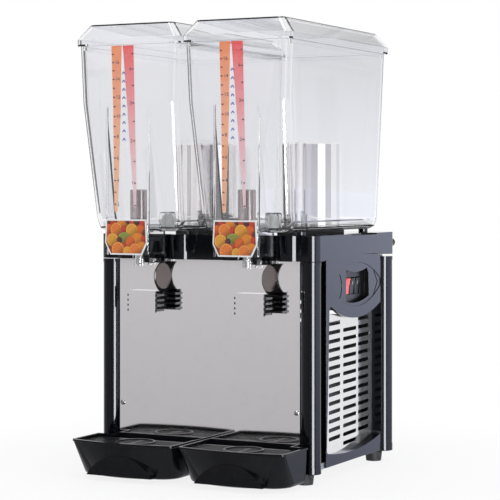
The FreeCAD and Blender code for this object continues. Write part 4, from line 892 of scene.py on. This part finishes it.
# %% Fruit disc group
def make_disc_group():
    """Masks of one round fruit in the plate's plane."""
    group, graph = new_group("fruit_disc", ("X", "Z", "Radius", "Spokes", "Squash", "Turn"),
                             ("Disc", "Pith", "Inside", "Spoke", "Shade"))
    fruit = graph.add("NodeGroupInput").outputs
    x, _, z = graph.coordinates()
    across = graph.arithmetic("MULTIPLY", graph.arithmetic("SUBTRACT", x, fruit["X"]), fruit["Squash"])
    up = graph.arithmetic("SUBTRACT", z, fruit["Z"])
    squares = [graph.arithmetic("MULTIPLY", way, way) for way in (across, up)]
    reach = graph.arithmetic("SQRT", graph.arithmetic("ADD", *squares))
    part = graph.arithmetic("DIVIDE", reach, fruit["Radius"])
    angle = graph.arithmetic("ADD", graph.arithmetic("ARCTAN2", up, across), fruit["Turn"])
    swing = graph.arithmetic("SINE", graph.arithmetic("MULTIPLY", angle, fruit["Spokes"]))
    wave = graph.arithmetic("ABSOLUTE", swing)
    leaning = [graph.arithmetic("MULTIPLY", across, 0.55), graph.arithmetic("MULTIPLY", up, -0.75)]
    slope = graph.arithmetic("DIVIDE", graph.arithmetic("ADD", *leaning), fruit["Radius"])
    graph.add("NodeGroupOutput", ("Disc", graph.stretch(part, 1.03, 0.97)),
              ("Pith", graph.stretch(part, 0.95, 0.90)), ("Inside", graph.stretch(part, 0.87, 0.81)),
              ("Spoke", graph.stretch(wave, 0.42, 0.18)), ("Shade", graph.stretch(slope, -0.1, 0.95)))
    return group


FRUIT_DISC = make_disc_group()
print("disc group with", len(FRUIT_DISC.nodes), "nodes")

# %% [markdown]
# The kinds give a fruit its colours and segments, and the list lays the fruits from the back to the front. The
# last layer is a fine grain over the whole picture.

# %% Fruit picture
SHADE_TONE = (0.34, 0.24, 0.20)
KINDS = {
    # Peel, flesh, pith, how strongly the pith shows, half the number of segments, squash
    "orange": ((0.66, 0.14, 0.010), (0.70, 0.16, 0.015), (0.84, 0.40, 0.12), 0.7, 5, 1.0),
    "whole": ((0.62, 0.10, 0.010), (0.66, 0.12, 0.015), (0.66, 0.12, 0.015), 0.0, 0, 1.05),
    "lemon": ((0.64, 0.25, 0.010), (0.68, 0.29, 0.015), (0.84, 0.50, 0.12), 0.7, 5, 1.0),
    "kiwi": ((0.08, 0.08, 0.01), (0.20, 0.23, 0.025), (0.45, 0.46, 0.15), 0.8, 9, 0.78),
    "peach": ((0.66, 0.19, 0.012), (0.70, 0.23, 0.02), (0.70, 0.23, 0.02), 0.0, 0, 0.85),
    "red": ((0.44, 0.03, 0.012), (0.55, 0.045, 0.02), (0.55, 0.045, 0.02), 0.0, 0, 1.2),
    "dark": ((0.05, 0.018, 0.015), (0.10, 0.03, 0.03), (0.10, 0.03, 0.03), 0.0, 0, 1.0),
}
FRUITS = (
    # Kind, place across and up the plate and radius in millimetres, turn
    ("dark", -32, 53, 5, 0), ("red", -24, 53, 7, 0), ("dark", -15, 55, 5, 0), ("peach", -6, 52, 9, 0),
    ("dark", 4, 55, 5, 0), ("red", 12, 53, 7, 0), ("dark", 21, 55, 6, 0), ("red", 31, 51, 7, 0),
    ("whole", -32, 42, 8, 0), ("orange", -18, 41, 11, 0.2), ("red", -4, 41, 6, 0), ("whole", 27, 40, 9, 0),
    ("lemon", 11, 40, 11, 0.5), ("dark", 36, 36, 5, 0), ("red", -34, 30, 6, 0), ("kiwi", -3, 28, 9, 0.1),
    ("peach", 21, 26, 10, 0), ("red", 33, 26, 6, 0), ("lemon", -25, 24, 11, 0.1), ("dark", -12, 24, 5, 0),
    ("whole", 8, 21, 9, 0), ("red", -4, 14, 6, 0), ("peach", 29, 14, 8, 0), ("orange", -15, 9, 12, 0.35),
    ("lemon", 3, 6, 8, 0.3), ("orange", 17, 8, 11, 0.0),
)


def fruit_finish(side, centre_x, low_z):
    """The picture for one plate; each fruit covers the ones before it."""
    finish = Finish("fruit_print_" + side, (0.5, 0.16, 0.03), 0.3)
    layer = finish.tint(finish.marks["Waves"], (0.16, 0.025, 0.006), (0.30, 0.06, 0.012))
    for kind, x, z, radius, turn in FRUITS:
        peel, flesh, pith, strength, segments, squash = KINDS[kind]
        disc = finish.add("ShaderNodeGroup")
        disc.node_tree = FRUIT_DISC
        finish.fill(disc, ("X", centre_x + x * MM), ("Z", low_z + z * MM), ("Radius", radius * MM),
                    ("Spokes", segments), ("Squash", squash), ("Turn", turn))
        masks = disc.outputs
        rind = finish.mix(masks["Pith"], peel, pith) if strength else peel
        colour = finish.mix(masks["Inside"], rind, flesh)
        if strength:
            lines = finish.arithmetic("MULTIPLY", masks["Spoke"], masks["Inside"])
            colour = finish.mix(lines, colour, finish.mix(strength, colour, pith))
        dark = finish.mix(1.0, colour, SHADE_TONE, "MULTIPLY")
        layer = finish.mix(masks["Disc"], layer, finish.mix(masks["Shade"], colour, dark))
    pores = finish.noise(finish.place(), 900, 2)
    finish.link(finish.mix(0.25, layer, pores, "OVERLAY"), finish.shader.inputs["Base Color"])
    return finish


PICTURE_BORDER, PICTURE_WAIST = 0.0026, 0.0198
PICTURE_HALF_WIDTHS = (0.0278, 0.0369, 0.0351)
PLATE_STEP = 0.0014
for side, sign in SIDES:
    (low_x, _, low_z), (high_x, _, high_z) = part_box("label_plate_" + side)
    middle = (low_x + high_x) / 2
    heights = (low_z + PICTURE_BORDER, low_z + PICTURE_WAIST, high_z - PICTURE_BORDER)
    rows = [(z, middle - half, middle + half) for z, half in zip(heights, PICTURE_HALF_WIDTHS)]
    picture = strip("fruit_picture_" + side, rows, offset=PLATE_STEP + PRINT_GAP)
    lay_print(picture, fruit_finish(side, middle, low_z), "bowl_%s_set" % side)
    print("picture", side, "with", len(FRUITS), "fruits,", round((high_z - low_z) / MM), "mm tall")


# %% [markdown]
# ## Finishing
#
# The view layer is brought up to date at the end.

# %% Finish
bpy.context.view_layer.update()
